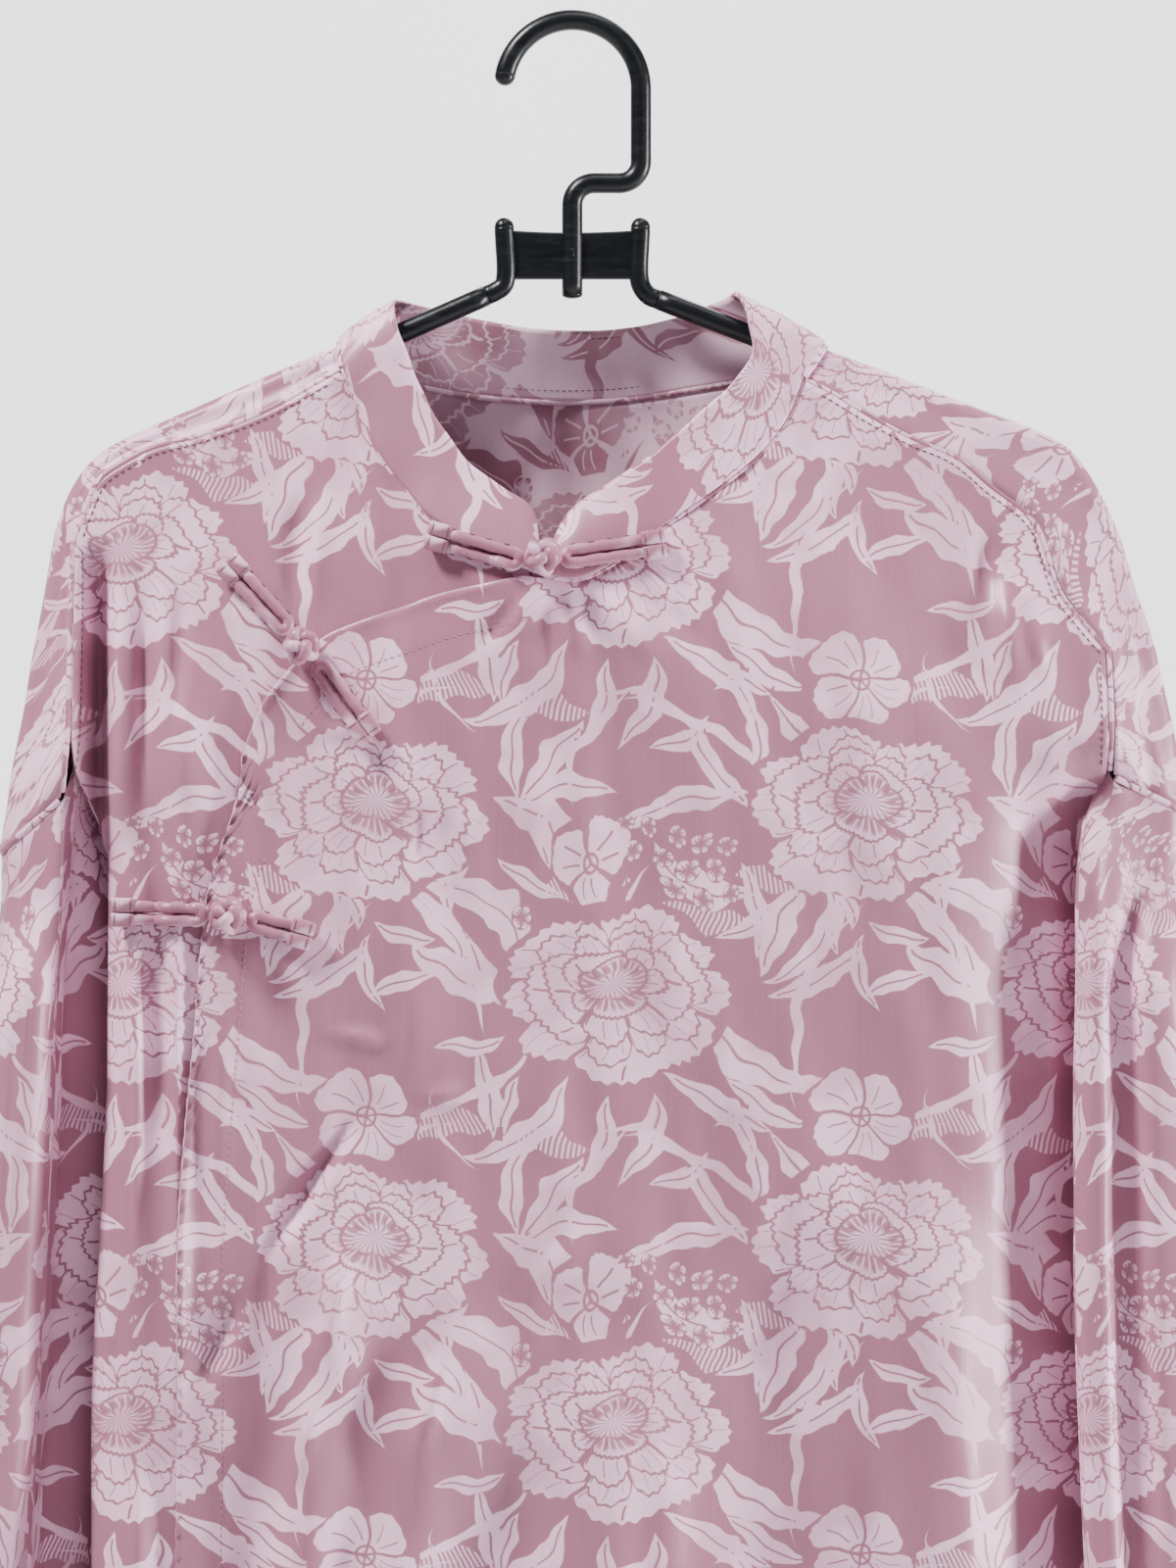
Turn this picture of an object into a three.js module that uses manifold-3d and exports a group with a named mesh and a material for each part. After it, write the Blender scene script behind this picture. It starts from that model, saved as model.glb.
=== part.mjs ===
// A chinese blouse of patterned satin, hanging on a plain plastic hanger.
// Millimetres. +X is right and +Z is up as the front is seen, and the front faces -Y.
// The origin is the inner crown of the hanger's hook, where a rail or a wall hook holds it.

import * as THREE from "three";
import { mergeVertices } from "three/addons/utils/BufferGeometryUtils.js";
import Module from "manifold-3d";

const wasm = await Module();
wasm.setup();

// Cloth
const CLOTH_WALL = 1.2;
const COLLAR_OUTSIDE = 0.6;
const COLLAR_LIFT = 1.7;
const COLLAR_RIDGE_LIFT = 1;
const COLLAR_BELLY = 1.8;
const COLLAR_END = { columns: 2.5, lowest: 0.42 };
const SEAM_GAP = 0.3;
const EDGE_GAP = 0.8;
const LAID_GAP = 0.5;
const SIDE_GAP = 1.1;
const CORNER_GAP = 2.4;
const LAYER_STEP = CLOTH_WALL + 0.8;

// Heights and depths of the hanging garment
const HEM_Z = -790;
const CUFF_Z = -710;
const SHOULDER_PEAK_Z = -98.4;
const SHOULDER_SLOPE = 0.44;
const FRONT_DEPTH = 30;
const BACK_DEPTH = 27;
const HEM_FLARE = 7;
const SEAM_DEPTH = 9;
const CAP_DEPTH = 16;

// Side edges of the body: how far behind the hanger's plane, and how wide the cloth rolls round there
const LEFT_EDGE_Y = 2;
const RIGHT_EDGE_Y = 8;
const LEFT_ROLL = 24;
const RIGHT_ROLL = 62;
const BACK_ROLL = 34;

// Below the armholes the front and the back come together at the side edges.
// from and to are depths below the origin.
const LEFT_CLOSE = { from: 298, to: 345, firstZ: -340 };
const RIGHT_CLOSE = { from: 285, to: 335, firstZ: -330 };

// The back stands out behind the neck, where the collar holds it
const NECK_BULGE = { depth: 15, x: 3, z: -152, halfWidth: 58, halfHeight: 60 };

// The deep vertical fold between the left side and the left upper arm
const ARM_FOLD = { x: -193, width: 5.2, floor: -4, top: -206, bottom: -232 };

// Hanger
const TUBE_RADIUS = 4.2;
const HOOK_RADIUS = 28;
const HOOK_CENTRE_Z = TUBE_RADIUS - HOOK_RADIUS;
const HOOK_TIP_ANGLE = THREE.MathUtils.degToRad(169);
const HOOK_STEP_Z = -62.4;
const STEP_BEND = 8.8;
const STEM_END_Z = -108;
const POST = { x: 27.8, radius: 4, top: -76.4, bottom: -103.6 };
const PLATE = { top: -81.6, bottom: -101.6, thickness: 4 };
const ARM_START_X = 35;
const ARMS = {
  left: { side: -1, entryZ: -124, slope: 0.441, endX: 181 },
  right: { side: 1, entryZ: -123.6, slope: 0.385, endX: 183 },
};
const ARM_ENTRY_X = 70.8;
const ARM_MIDDLE_X = 110;

// Fabric closures: knotted buttons on pairs of tubes that end in square blocks
const STRAP_RADIUS = 2.4;
const STRAP_SPACING = 5.2;
const BLOCK = { length: 10, width: 12.4, height: 4 };
const KNOT_RADIUS = 7.8;
const KNOT_REST = 0.42 * KNOT_RADIUS;
const KNOT_DIP = 0.05;

// Columns: x, z. The outline of each shoulder, along the hanger's arm, then down the upper arm to the armhole.
const RIDGE = {
  left: {
    shoulder: [[-95, -128.5], [-119, -138.6], [-144.5, -149.8], [-170, -161], [-188.8, -170], [-199.2, -179.2],
      [-206, -190.4], [-211, -205]],
    drop: [[-211, -205], [-216, -232], [-219.6, -254.4], [-224.8, -286], [-229, -312], [-233, -334]],
  },
  right: {
    shoulder: [[103, -130], [127.2, -139], [165.6, -154.2], [191.2, -164], [203, -171], [212, -183],
      [220.4, -199.6], [226.8, -218.4], [234.4, -241.6]],
    drop: [[234.4, -241.6], [240.8, -267.2], [246.4, -298.8], [250, -318]],
  },
};

// Columns: x, z. The forward shoulder seam, then its straight drop to the armhole seam.
const FRONT_SEAM = {
  left: {
    shoulder: [[-93.5, -139.5], [-125, -156.8], [-152, -166.8], [-170, -171.5], [-181, -177], [-191.6, -184.5],
      [-197, -196], [-202, -210]],
    drop: [[-202, -210], [-202, -260], [-202.6, -290], [-205, -311.6]],
  },
  right: {
    shoulder: [[94, -143.5], [104, -148.5], [118.4, -157.2], [137.6, -167.6], [155.2, -175.2], [169.2, -186.8],
      [187.2, -202], [197.2, -230], [206.4, -242.8], [216.4, -254.4]],
    drop: [[216.4, -254.4], [217, -280], [217.2, -302.8]],
  },
};

// Columns: x, z. The line across the back of the shoulder where the cap turns into the back's flat.
const BACK_LINE = {
  left: FRONT_SEAM.left,
  right: {
    shoulder: [[97, -140], [125, -153], [152, -164], [172, -173], [190, -184], [203, -200], [212, -222],
      [216.4, -254.4]],
    drop: FRONT_SEAM.right.drop,
  },
};

// Columns: x, z. The neck seam, from the left shoulder to the front's middle, and so on round the neck.
const NECK = {
  frontLeft: [[-93.5, -139.5], [-84.8, -159.6], [-78.4, -174.8], [-68, -188.8], [-56.8, -201.6],
    [-34, -213.8], [-12, -223.6]],
  frontRight: [[-12, -224.6], [3.2, -226], [20, -217.5], [36.4, -205], [60.8, -187.6], [77.2, -173.6],
    [87.6, -159.6], [94, -143.5]],
  back: [[-93.5, -139.5], [-80, -143.2], [-61.6, -145.8], [-42, -149], [-17, -150.8], [8.4, -150.8],
    [29, -149.4], [52, -146], [78, -142.2], [97, -140]],
};

// Columns: x, z, y. The collar's top edge: up the left front, round the back, and down the right front.
const COLLAR_TOP = {
  left: [[-12.4, -204.4, -16], [-17.2, -196.4, -16], [-28.4, -188.8, -16], [-42.4, -178.8, -15],
    [-55.2, -159.6, -14], [-66, -138, -12.5], [-71, -123.6, -10], [-72.6, -115, -5.5], [-72.4, -112.4, 0]],
  back: [[-72.4, -112.4, 0], [-70, -111.8, 5], [-62, -113.4, 11], [-40, -118, 16], [-12, -122.5, 18],
    [16, -122.5, 18], [42, -118, 16], [59, -111.6, 11], [65.6, -108.8, 5], [67.4, -108.8, 0]],
  right: [[67.4, -108.8, 0], [69.6, -112.4, -6], [71.8, -119.6, -10], [72.6, -134, -12.5], [63.2, -148, -14],
    [46.8, -163.2, -15], [32.8, -174.8, -16], [14.8, -187.6, -16], [1.6, -196.4, -16], [-6.4, -206, -16]],
};

// Columns: x, z. The curved edge where the outer front closes over the under front.
const OVERLAP = {
  diagonal: [[-133, -297], [-125.6, -276.4], [-115.2, -262.4], [-100, -248.2], [-72, -237.4],
    [-51.6, -230.4], [-19.6, -223.6]],
  side: [[-133, -297], [-134.4, -312], [-140.8, -331.2], [-146, -346.4], [-149.6, -372.4], [-151.6, -399.2],
    [-155.6, -446.8], [-158.4, -491.6], [-158.8, -555.2], [-159.6, -627.6], [-162, HEM_Z]],
};

// Columns: x, z. The body's side edges.
const LEFT_EDGE = [[-202, -210], [-202, -290], [-200.5, -303], [-194, -322], [-189.5, -340], [-190, -429],
  [-192, -475], [-195, -520], [-196.4, -560], [-196.4, -627], [-199, HEM_Z]];
const RIGHT_EDGE = [[216.4, -254.4], [217, -290], [216.4, -303], [214.4, -318], [213.6, -345], [213.4, -600],
  [217, HEM_Z]];

// The largest folds. A row is a soft ridge (rise above 0) or trough that runs from its top to its bottom.
const FRONT_FOLDS = [
  { topX: -89.6, topZ: -480, bottomX: -132, bottomZ: -800, width: 14, rise: 8 },
  { topX: -108, topZ: -500, bottomX: -152, bottomZ: -800, width: 12, rise: -6 },
  { topX: -46.4, topZ: -515, bottomX: -98, bottomZ: -800, width: 14, rise: 7 },
  { topX: -20, topZ: -560, bottomX: -50, bottomZ: -800, width: 20, rise: -6 },
  { topX: -83, topZ: -425, bottomX: -128, bottomZ: -510, width: 11, rise: -4 },
  { topX: -171, topZ: -212, bottomX: -168, bottomZ: -375, width: 8, rise: -5 },
  { topX: -157, topZ: -245, bottomX: -155, bottomZ: -380, width: 8, rise: 3.5 },
  { topX: 167.6, topZ: -184, bottomX: 168, bottomZ: -262, width: 9, rise: -4 },
  { topX: 178, topZ: -210, bottomX: 180, bottomZ: -300, width: 9, rise: 4 },
  { topX: 18, topZ: -520, bottomX: 8, bottomZ: -800, width: 20, rise: 7 },
  { topX: 84, topZ: -470, bottomX: 92, bottomZ: -800, width: 24, rise: -7 },
  { topX: 140, topZ: -450, bottomX: 152, bottomZ: -800, width: 22, rise: 7 },
];
const BACK_FOLDS = [
  { topX: -150, topZ: -230, bottomX: -158, bottomZ: -800, width: 18, rise: 7 },
  { topX: -112, topZ: -290, bottomX: -116, bottomZ: -800, width: 17, rise: -6 },
  { topX: -62, topZ: -330, bottomX: -66, bottomZ: -800, width: 22, rise: 7 },
  { topX: 2, topZ: -400, bottomX: 6, bottomZ: -800, width: 24, rise: -7 },
  { topX: 66, topZ: -330, bottomX: 72, bottomZ: -800, width: 20, rise: 7 },
  { topX: 118, topZ: -260, bottomX: 124, bottomZ: -800, width: 18, rise: -6 },
  { topX: 160, topZ: -230, bottomX: 170, bottomZ: -800, width: 18, rise: 6 },
];

// Each fold fades out over this length at its ends, unless it runs off the hem.
const FOLD_FADE = 60;

// Sleeves. inner and outer, columns x, z: the tube's edges as seen from the front.
// ring, columns across, deep: across is 0 at the inner edge and 1 at the outer.
// deep is -1 at the front and 1 behind.
// cap lists the points of the cap's end where the ring's first rows start.
// armpit gives the rest, as x, z and y.
const SLEEVES = {
  left: {
    inner: [[-202, -312], [-199, -330], [-198, -345], [-197.4, -428], [-200, -492], [-203, -542],
      [-206.4, -594], [-208, -628], [-210, CUFF_Z]],
    outer: [[-231, -312], [-233, -334], [-244, -420], [-250, -500], [-254, -600], [-257, CUFF_Z]],
    cap: [0, 1, 2, 3, 5, 7, 8, 9, 10],
    armpit: [[-200.4, -324, 12], [-199, -330, 2], [-201, -322, -8]],
    ring: [[0.27, -0.72], [0.42, -1], [0.66, -0.96], [0.88, -0.68], [1, 0], [0.9, 0.62], [0.7, 0.96],
      [0.46, 0.8], [0.2, 1], [0, 0.55], [0.03, 0.06], [0.24, -0.12]],
  },
  right: {
    inner: [[217.6, -304], [211, -322], [209.6, -345], [209.2, -428], [209.6, -504], [210.8, -555],
      [214, -628], [217, CUFF_Z]],
    outer: [[248, -304], [250, -318], [257, -345], [266, -420], [271, -500], [274, -600], [276, CUFF_Z]],
    cap: [0, 1, 2, 3, 4, 5, 7, 8, 10],
    armpit: [[217, -318, 14], [217.4, -322, 6], [218.6, -316, -3]],
    ring: [[0, -0.74], [0.12, -1], [0.23, -0.66], [0.45, -0.95], [0.8, -0.76], [1, 0], [0.86, 0.72],
      [0.52, 0.95], [0.22, 0.8], [0.16, 0.42], [0.15, 0], [0.03, -0.4]],
  },
};
const SLEEVE_DEPTH = { top: 20, middle: 32, cuff: 30 };
const SLEEVE_SETTLE = 0.2;
const SLEEVE_GAP = 2.6;

// Grids
const CAP_STEPS = 9;
const NECK_COLUMNS = 9;
const SLEEVE_RINGS = 11;
const SLEEVE_POINTS = 30;
const COLLAR_STEPS = { left: 14, back: 16, right: 15 };
const COLLAR_BANDS = 4;

// Small tools

function smooth(from, to, value) {
  return THREE.MathUtils.smoothstep(value, from, to);
}

function mix(a, b, t) {
  return a + (b - a) * t;
}

function curve3(points, closed = false) {
  return new THREE.CatmullRomCurve3(points, closed, "centripetal");
}

function curveThrough(rows) {
  return curve3(rows.map(([x, z]) => new THREE.Vector3(x, 0, z)));
}

// The value of one column at a given value of the other, in a table that runs one way in the given column.
function lookUp(rows, given, wanted, value) {
  const rising = rows[rows.length - 1][given] > rows[0][given];
  const ahead = (row) => (rising ? row[given] >= value : row[given] <= value);
  const found = rows.findIndex(ahead);
  if (found === 0) return rows[0][wanted];
  if (found < 0) return rows[rows.length - 1][wanted];
  const [low, high] = [rows[found - 1], rows[found]];
  return mix(low[wanted], high[wanted], (value - low[given]) / (high[given] - low[given]));
}

const xAt = (rows, z) => lookUp(rows, 1, 0, z);
const zAt = (rows, x) => lookUp(rows, 0, 1, x);

// A table made denser along a smooth curve through its rows.
function refined(rows, count = 60) {
  return curveThrough(rows).getSpacedPoints(count).map((p) => [p.x, p.z]);
}

// The form of the cloth

function foldHeight(folds, x, z) {
  return folds.reduce((height, fold) => {
    const along = (fold.topZ - z) / (fold.topZ - fold.bottomZ);
    if (along <= 0 || along >= 1) return height;
    const offset = x - mix(fold.topX, fold.bottomX, along);
    const length = fold.topZ - fold.bottomZ;
    const fadeIn = smooth(0, FOLD_FADE, along * length);
    const fadeOut = fold.bottomZ < HEM_Z ? 1 : smooth(0, FOLD_FADE, (1 - along) * length);
    return height + fold.rise * fadeIn * fadeOut * Math.exp(-((offset / fold.width) ** 2));
  }, 0);
}

// Depth of the cloth at the shoulder seam: shallow over the hanger's arm, and deeper where the upper arm
// hangs free.
function seamDepth(x, z) {
  const free = smooth(176, 204, Math.abs(x)) * smooth(185, 290, -z);
  return mix(SEAM_DEPTH, CAP_DEPTH, free);
}

function hangingDepth(x, z, full) {
  const below = SHOULDER_PEAK_Z - SHOULDER_SLOPE * Math.abs(x) - z;
  const seam = seamDepth(x, z);
  return mix(seam, full + HEM_FLARE * smooth(300, 790, -z), smooth(0, 150, below));
}

// The side edge that the cloth rolls round, which above the underarm is the edge's first full row.
const leftEdgeX = (z) => xAt(LEFT_EDGE, Math.min(z, LEFT_CLOSE.firstZ));
const rightEdgeX = (z) => xAt(RIGHT_EDGE, Math.min(z, RIGHT_CLOSE.firstZ));

// How far the front lies ahead of the hanger's plane.
function frontDepth(x, z) {
  const full = hangingDepth(x, z, FRONT_DEPTH) + foldHeight(FRONT_FOLDS, x, z);
  const foldStart = smooth(-ARM_FOLD.top, -ARM_FOLD.bottom, -z);
  const notch = Math.exp(-(((x - ARM_FOLD.x) / ARM_FOLD.width) ** 2));
  const upper = full - (full - ARM_FOLD.floor) * foldStart * notch;
  if (x < 0) {
    const inside = THREE.MathUtils.clamp((x - leftEdgeX(z)) / LEFT_ROLL, 0, 1);
    const rolled = mix(-LEFT_EDGE_Y + SIDE_GAP, full, Math.sqrt(1 - (1 - inside) ** 2));
    return mix(upper, rolled, smooth(LEFT_CLOSE.from, LEFT_CLOSE.to, -z));
  }
  const inside = THREE.MathUtils.clamp((rightEdgeX(z) - x) / RIGHT_ROLL, 0, 1);
  const rolled = mix(-RIGHT_EDGE_Y + SIDE_GAP, full, Math.sin((inside * Math.PI) / 2) ** 1.5);
  return mix(full, rolled, smooth(RIGHT_CLOSE.from, RIGHT_CLOSE.to, -z));
}

// How far the back lies behind the hanger's plane.
function backDepth(x, z) {
  const beside = (x - NECK_BULGE.x) / NECK_BULGE.halfWidth;
  const below = (z - NECK_BULGE.z) / NECK_BULGE.halfHeight;
  const neckBulge = NECK_BULGE.depth * Math.exp(-(beside ** 2)) * Math.exp(-(below ** 2));
  const full = hangingDepth(x, z, BACK_DEPTH) + foldHeight(BACK_FOLDS, x, z) + neckBulge;
  const edgeX = x < 0 ? leftEdgeX(z) : rightEdgeX(z);
  const edgeY = x < 0 ? LEFT_EDGE_Y : RIGHT_EDGE_Y;
  const within = Math.abs(x) < Math.abs(edgeX);
  const inside = within ? Math.min(Math.abs(x - edgeX) / BACK_ROLL, 1) : 0;
  const rolled = mix(edgeY + SIDE_GAP, full, Math.sqrt(1 - (1 - inside) ** 2));
  return mix(full, rolled, smooth(LEFT_CLOSE.from, LEFT_CLOSE.to, -z));
}

function frontPoint(x, z) {
  return new THREE.Vector3(x, -frontDepth(x, z), z);
}

function backPoint(x, z) {
  return new THREE.Vector3(x, backDepth(x, z), z);
}

// Unit vector out of the front, from the slope of its depth.
function frontNormal(x, z) {
  const step = 0.5;
  const slopeX = (frontDepth(x + step, z) - frontDepth(x - step, z)) / (2 * step);
  const slopeZ = (frontDepth(x, z + step) - frontDepth(x, z - step)) / (2 * step);
  return new THREE.Vector3(-slopeX, -1, -slopeZ).normalize();
}

const OVERLAP_EDGE = [...refined(OVERLAP.diagonal).reverse(), ...refined(OVERLAP.side)];

// The under front lies a layer inside the outer front, and comes out level with it away from the overlap.
function underPoint(x, z) {
  const edgeX = xAt(OVERLAP_EDGE, z);
  const away = Math.min(...OVERLAP_EDGE.map(([ex, ez]) => Math.hypot(ex - x, ez - z)));
  const open = x < edgeX || z > OVERLAP_EDGE[0][1];
  const depth = LAYER_STEP * (open ? 1 - smooth(6, 34, away) : 1);
  return frontPoint(x, z).addScaledVector(frontNormal(x, z), -depth);
}

// Solids from sheets

// Collects grids of points as one welded surface, then gives it a wall.
class Sheet {
  constructor() {
    this.points = [];
    this.faces = [];
    this.known = new Map();
  }

  index(point) {
    const key = point.toArray().map((value) => Math.round(value * 1e4)).join();
    if (!this.known.has(key)) {
      this.known.set(key, this.points.length);
      this.points.push(point);
    }
    return this.known.get(key);
  }

  // grid[i][j]: with turned false, faces look to the side from which j runs down as i runs to the right.
  addGrid(grid, turned = false, closed = false) {
    const ids = grid.map((column) => column.map((point) => this.index(point)));
    if (closed) ids.push(ids[0]);
    for (let i = 0; i + 1 < ids.length; i++) {
      for (let j = 0; j + 1 < ids[i].length; j++) {
        const quad = [ids[i][j], ids[i][j + 1], ids[i + 1][j + 1], ids[i + 1][j]];
        if (turned) quad.reverse();
        const [a, b, c, d] = quad;
        if (new Set([a, b, c]).size === 3) this.faces.push([a, b, c]);
        if (new Set([a, c, d]).size === 3) this.faces.push([a, c, d]);
      }
    }
    return this;
  }

  normals() {
    const sums = this.points.map(() => new THREE.Vector3());
    for (const face of this.faces) {
      const [a, b, c] = face.map((id) => this.points[id]);
      const normal = new THREE.Vector3().crossVectors(b.clone().sub(a), c.clone().sub(a));
      face.forEach((id) => sums[id].add(normal));
    }
    return sums.map((sum) => sum.normalize());
  }

  geometry(inside = CLOTH_WALL, outside = 0) {
    const normals = this.normals();
    const count = this.points.length;
    const outer = this.points.map((p, i) => p.clone().addScaledVector(normals[i], outside));
    const inner = this.points.map((p, i) => p.clone().addScaledVector(normals[i], -inside));
    const edges = new Set(this.faces.flatMap(([a, b, c]) => [`${a},${b}`, `${b},${c}`, `${c},${a}`]));
    const triangles = this.faces.flatMap(([a, b, c]) => [a, b, c, a + count, c + count, b + count]);
    for (const edge of edges) {
      const [a, b] = edge.split(",").map(Number);
      if (!edges.has(`${b},${a}`)) triangles.push(b, a, a + count, b, a + count, b + count);
    }
    const geometry = new THREE.BufferGeometry().setFromPoints([...outer, ...inner]);
    geometry.setIndex(triangles);
    return geometry;
  }
}

// A geometry as a manifold-3d solid, and back.
function toSolid(geometry) {
  const bare = geometry.clone();
  bare.deleteAttribute("normal");
  bare.deleteAttribute("uv");
  const merged = mergeVertices(bare, 1e-4);
  return new wasm.Manifold(new wasm.Mesh({
    numProp: 3,
    vertProperties: new Float32Array(merged.attributes.position.array),
    triVerts: new Uint32Array(merged.index.array),
  }));
}

function fromSolid(solid) {
  const mesh = solid.getMesh();
  const geometry = new THREE.BufferGeometry();
  geometry.setAttribute("position", new THREE.BufferAttribute(mesh.vertProperties, 3));
  geometry.setIndex(new THREE.BufferAttribute(mesh.triVerts, 1));
  return geometry;
}

function joined(geometries) {
  return fromSolid(geometries.map(toSolid).reduce((whole, piece) => whole.add(piece)));
}

// Columns of a panel start on its top line and run down to the hem between its side edges.
function panelGrid({ top, columns, left, right, fractions, point }) {
  return columns.map((startX) => {
    const startZ = zAt(top, startX);
    const share = (startX - left(startZ)) / (right(startZ) - left(startZ));
    return fractions.map((fraction) => {
      const z = mix(startZ, HEM_Z, fraction);
      return point(mix(left(z), right(z), share), z);
    });
  });
}

// Caps: the part of the back that wraps over the hanger's arm and round the upper arm

// How far below the ridge each point of a cap's section lies, as a share of the roof's radius or of the
// whole height.
const CAP_SECTION = [
  { side: -1, share: 1 }, { side: -1, share: 0.5 }, { side: -1, radius: 1 }, { side: -1, radius: 0.5 },
  { side: -1, radius: 0.134 }, { side: 1, radius: 0 }, { side: 1, radius: 0.134 }, { side: 1, radius: 0.5 },
  { side: 1, radius: 1 }, { side: 1, share: 0.5 }, { side: 1, share: 1 },
];

// The most of a section's height that its round roof may take.
const ROOF_SHARE = 0.7;

function capSection(seam, ridge, back, fullRoof, gap) {
  return CAP_SECTION.map(({ side, share, radius }) => {
    const foot = side < 0 ? seam : back;
    const height = Math.hypot(foot.x - ridge.x, foot.z - ridge.z);
    const reach = side < 0 ? height - gap : height;
    const roof = Math.min(fullRoof, ROOF_SHARE * reach);
    const drop = share === undefined ? roof * radius : mix(roof, reach, share);
    if (share === 1 && side > 0) return back;
    const round = Math.min(drop / roof, 1);
    const roofY = roof * Math.sqrt(1 - (1 - round) ** 2);
    const y = roofY + (Math.abs(foot.y) - roof) * smooth(0, 1, (drop - roof) / (height - roof));
    const down = drop / height;
    return new THREE.Vector3(mix(ridge.x, foot.x, down), side * y, mix(ridge.z, foot.z, down));
  });
}

// The roof over the arm has the arm's radius and the wall's, and opens where the upper arm hangs free.
const ARM_ROOF = TUBE_RADIUS + SEAM_GAP + CLOTH_WALL;
const CORNER_ROOF = 8;
const FREE_ROOF = 12;

function capGrid(side, dropPoints) {
  const seams = FRONT_SEAM[side];
  const ridges = RIDGE[side];
  const backs = BACK_LINE[side];
  const [seam, ridge, back] = [seams, ridges, backs].map((line) => curveThrough(line.shoulder));
  const shoulder = Array.from({ length: CAP_STEPS }, (_, k) => {
    const t = k / CAP_STEPS;
    const foot = seam.getPointAt(t);
    const behind = back.getPointAt(t);
    return capSection(frontPoint(foot.x, foot.z), ridge.getPointAt(t), backPoint(behind.x, behind.z),
      mix(ARM_ROOF, CORNER_ROOF, smooth(0.8, 1, t)), mix(EDGE_GAP, CORNER_GAP, smooth(0.35, 0.8, t)));
  });
  const dropRidge = curveThrough(ridges.drop);
  const first = dropPoints[0].z;
  const last = dropPoints.at(-1).z;
  const drop = dropPoints.map((behind) => {
    const t = (behind.z - first) / (last - first);
    const footZ = mix(seams.drop[0][1], seams.drop.at(-1)[1], t);
    const foot = frontPoint(xAt(seams.drop, footZ), footZ);
    return capSection(foot, dropRidge.getPointAt(t), behind, mix(CORNER_ROOF, FREE_ROOF, t), CORNER_GAP);
  });
  return [...shoulder, ...drop];
}

// The points where the back's shoulder columns start.
function capStarts(side) {
  const back = curveThrough(BACK_LINE[side].shoulder);
  return Array.from({ length: CAP_STEPS + 1 }, (_, k) => back.getPointAt(k / CAP_STEPS));
}

// Rows of every panel, with one on each armhole's end: the fourth row on the left, the second on the right.
const LEFT_DROP = 4;
const RIGHT_DROP = 2;
const ROWS_BELOW = 9;

function rowFractions() {
  const [leftTop, leftEnd] = [LEFT_EDGE[0][1], FRONT_SEAM.left.drop.at(-1)[1]];
  const [rightTop, rightEnd] = [RIGHT_EDGE[0][1], FRONT_SEAM.right.drop.at(-1)[1]];
  const leftShare = (leftEnd - leftTop) / (HEM_Z - leftTop);
  const rightShare = (rightEnd - rightTop) / (HEM_Z - rightTop);
  const upper = [0, rightShare / 2, rightShare, (rightShare + leftShare) / 2, leftShare];
  const rest = Array.from({ length: ROWS_BELOW }, (_, j) => mix(leftShare, 1, (j + 1) / ROWS_BELOW));
  return [...upper, ...rest];
}

// Pieces of cloth

// Rows and columns that both fronts use, so that one layer follows the other exactly.
const OVERLAP_CORNER = OVERLAP.side[0];
const DIAGONAL_XS = [-133, -118, -105.5, -93.5, -85, -76, -58, -38, -19.6];
const NECK_XS = [-12, 3, 18, 32, 46, 60, 71, 80, 87.6, 91.5, 94];
const FOLD_XS = [-199.5, -193.5, -190.5, -187, -180];
const DIAGONAL_COLUMNS = DIAGONAL_XS.length - 1;
const HIDDEN_COLUMNS = 3;
const HIDDEN_ROWS = 2;
const UNDER_TOP_ROWS = 5;
const END_STEP = 0.5;
const LEAST_COLUMN = 4;

// Points of the forward shoulder seam that the fronts share with the caps.
function seamFeet(side) {
  return curveThrough(FRONT_SEAM[side].shoulder).getSpacedPoints(CAP_STEPS).map((p) => [p.x, p.z]);
}

const overlapSide = refined(OVERLAP.side);
const overlapDiagonal = refined(OVERLAP.diagonal);

function outerGrid(point) {
  return panelGrid({
    top: [...overlapDiagonal, ...refined(NECK.frontRight), ...seamFeet("right").slice(1)],
    columns: [
      ...DIAGONAL_XS,
      ...NECK_XS,
      ...seamFeet("right").slice(1).map(([x]) => x),
    ],
    left: (z) => (z > OVERLAP_CORNER[1] ? OVERLAP_CORNER[0] : xAt(overlapSide, z)),
    right: (z) => xAt(RIGHT_EDGE, z),
    fractions: rowFractions(),
    point,
  });
}

function frontOuter() {
  return new Sheet().addGrid(outerGrid(frontPoint)).geometry();
}

// Heights of the under front's rows above the overlap's corner.
function upperZs(startZ, endZ) {
  return Array.from({ length: UNDER_TOP_ROWS }, (_, j) => mix(startZ, endZ, j / UNDER_TOP_ROWS));
}

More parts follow.
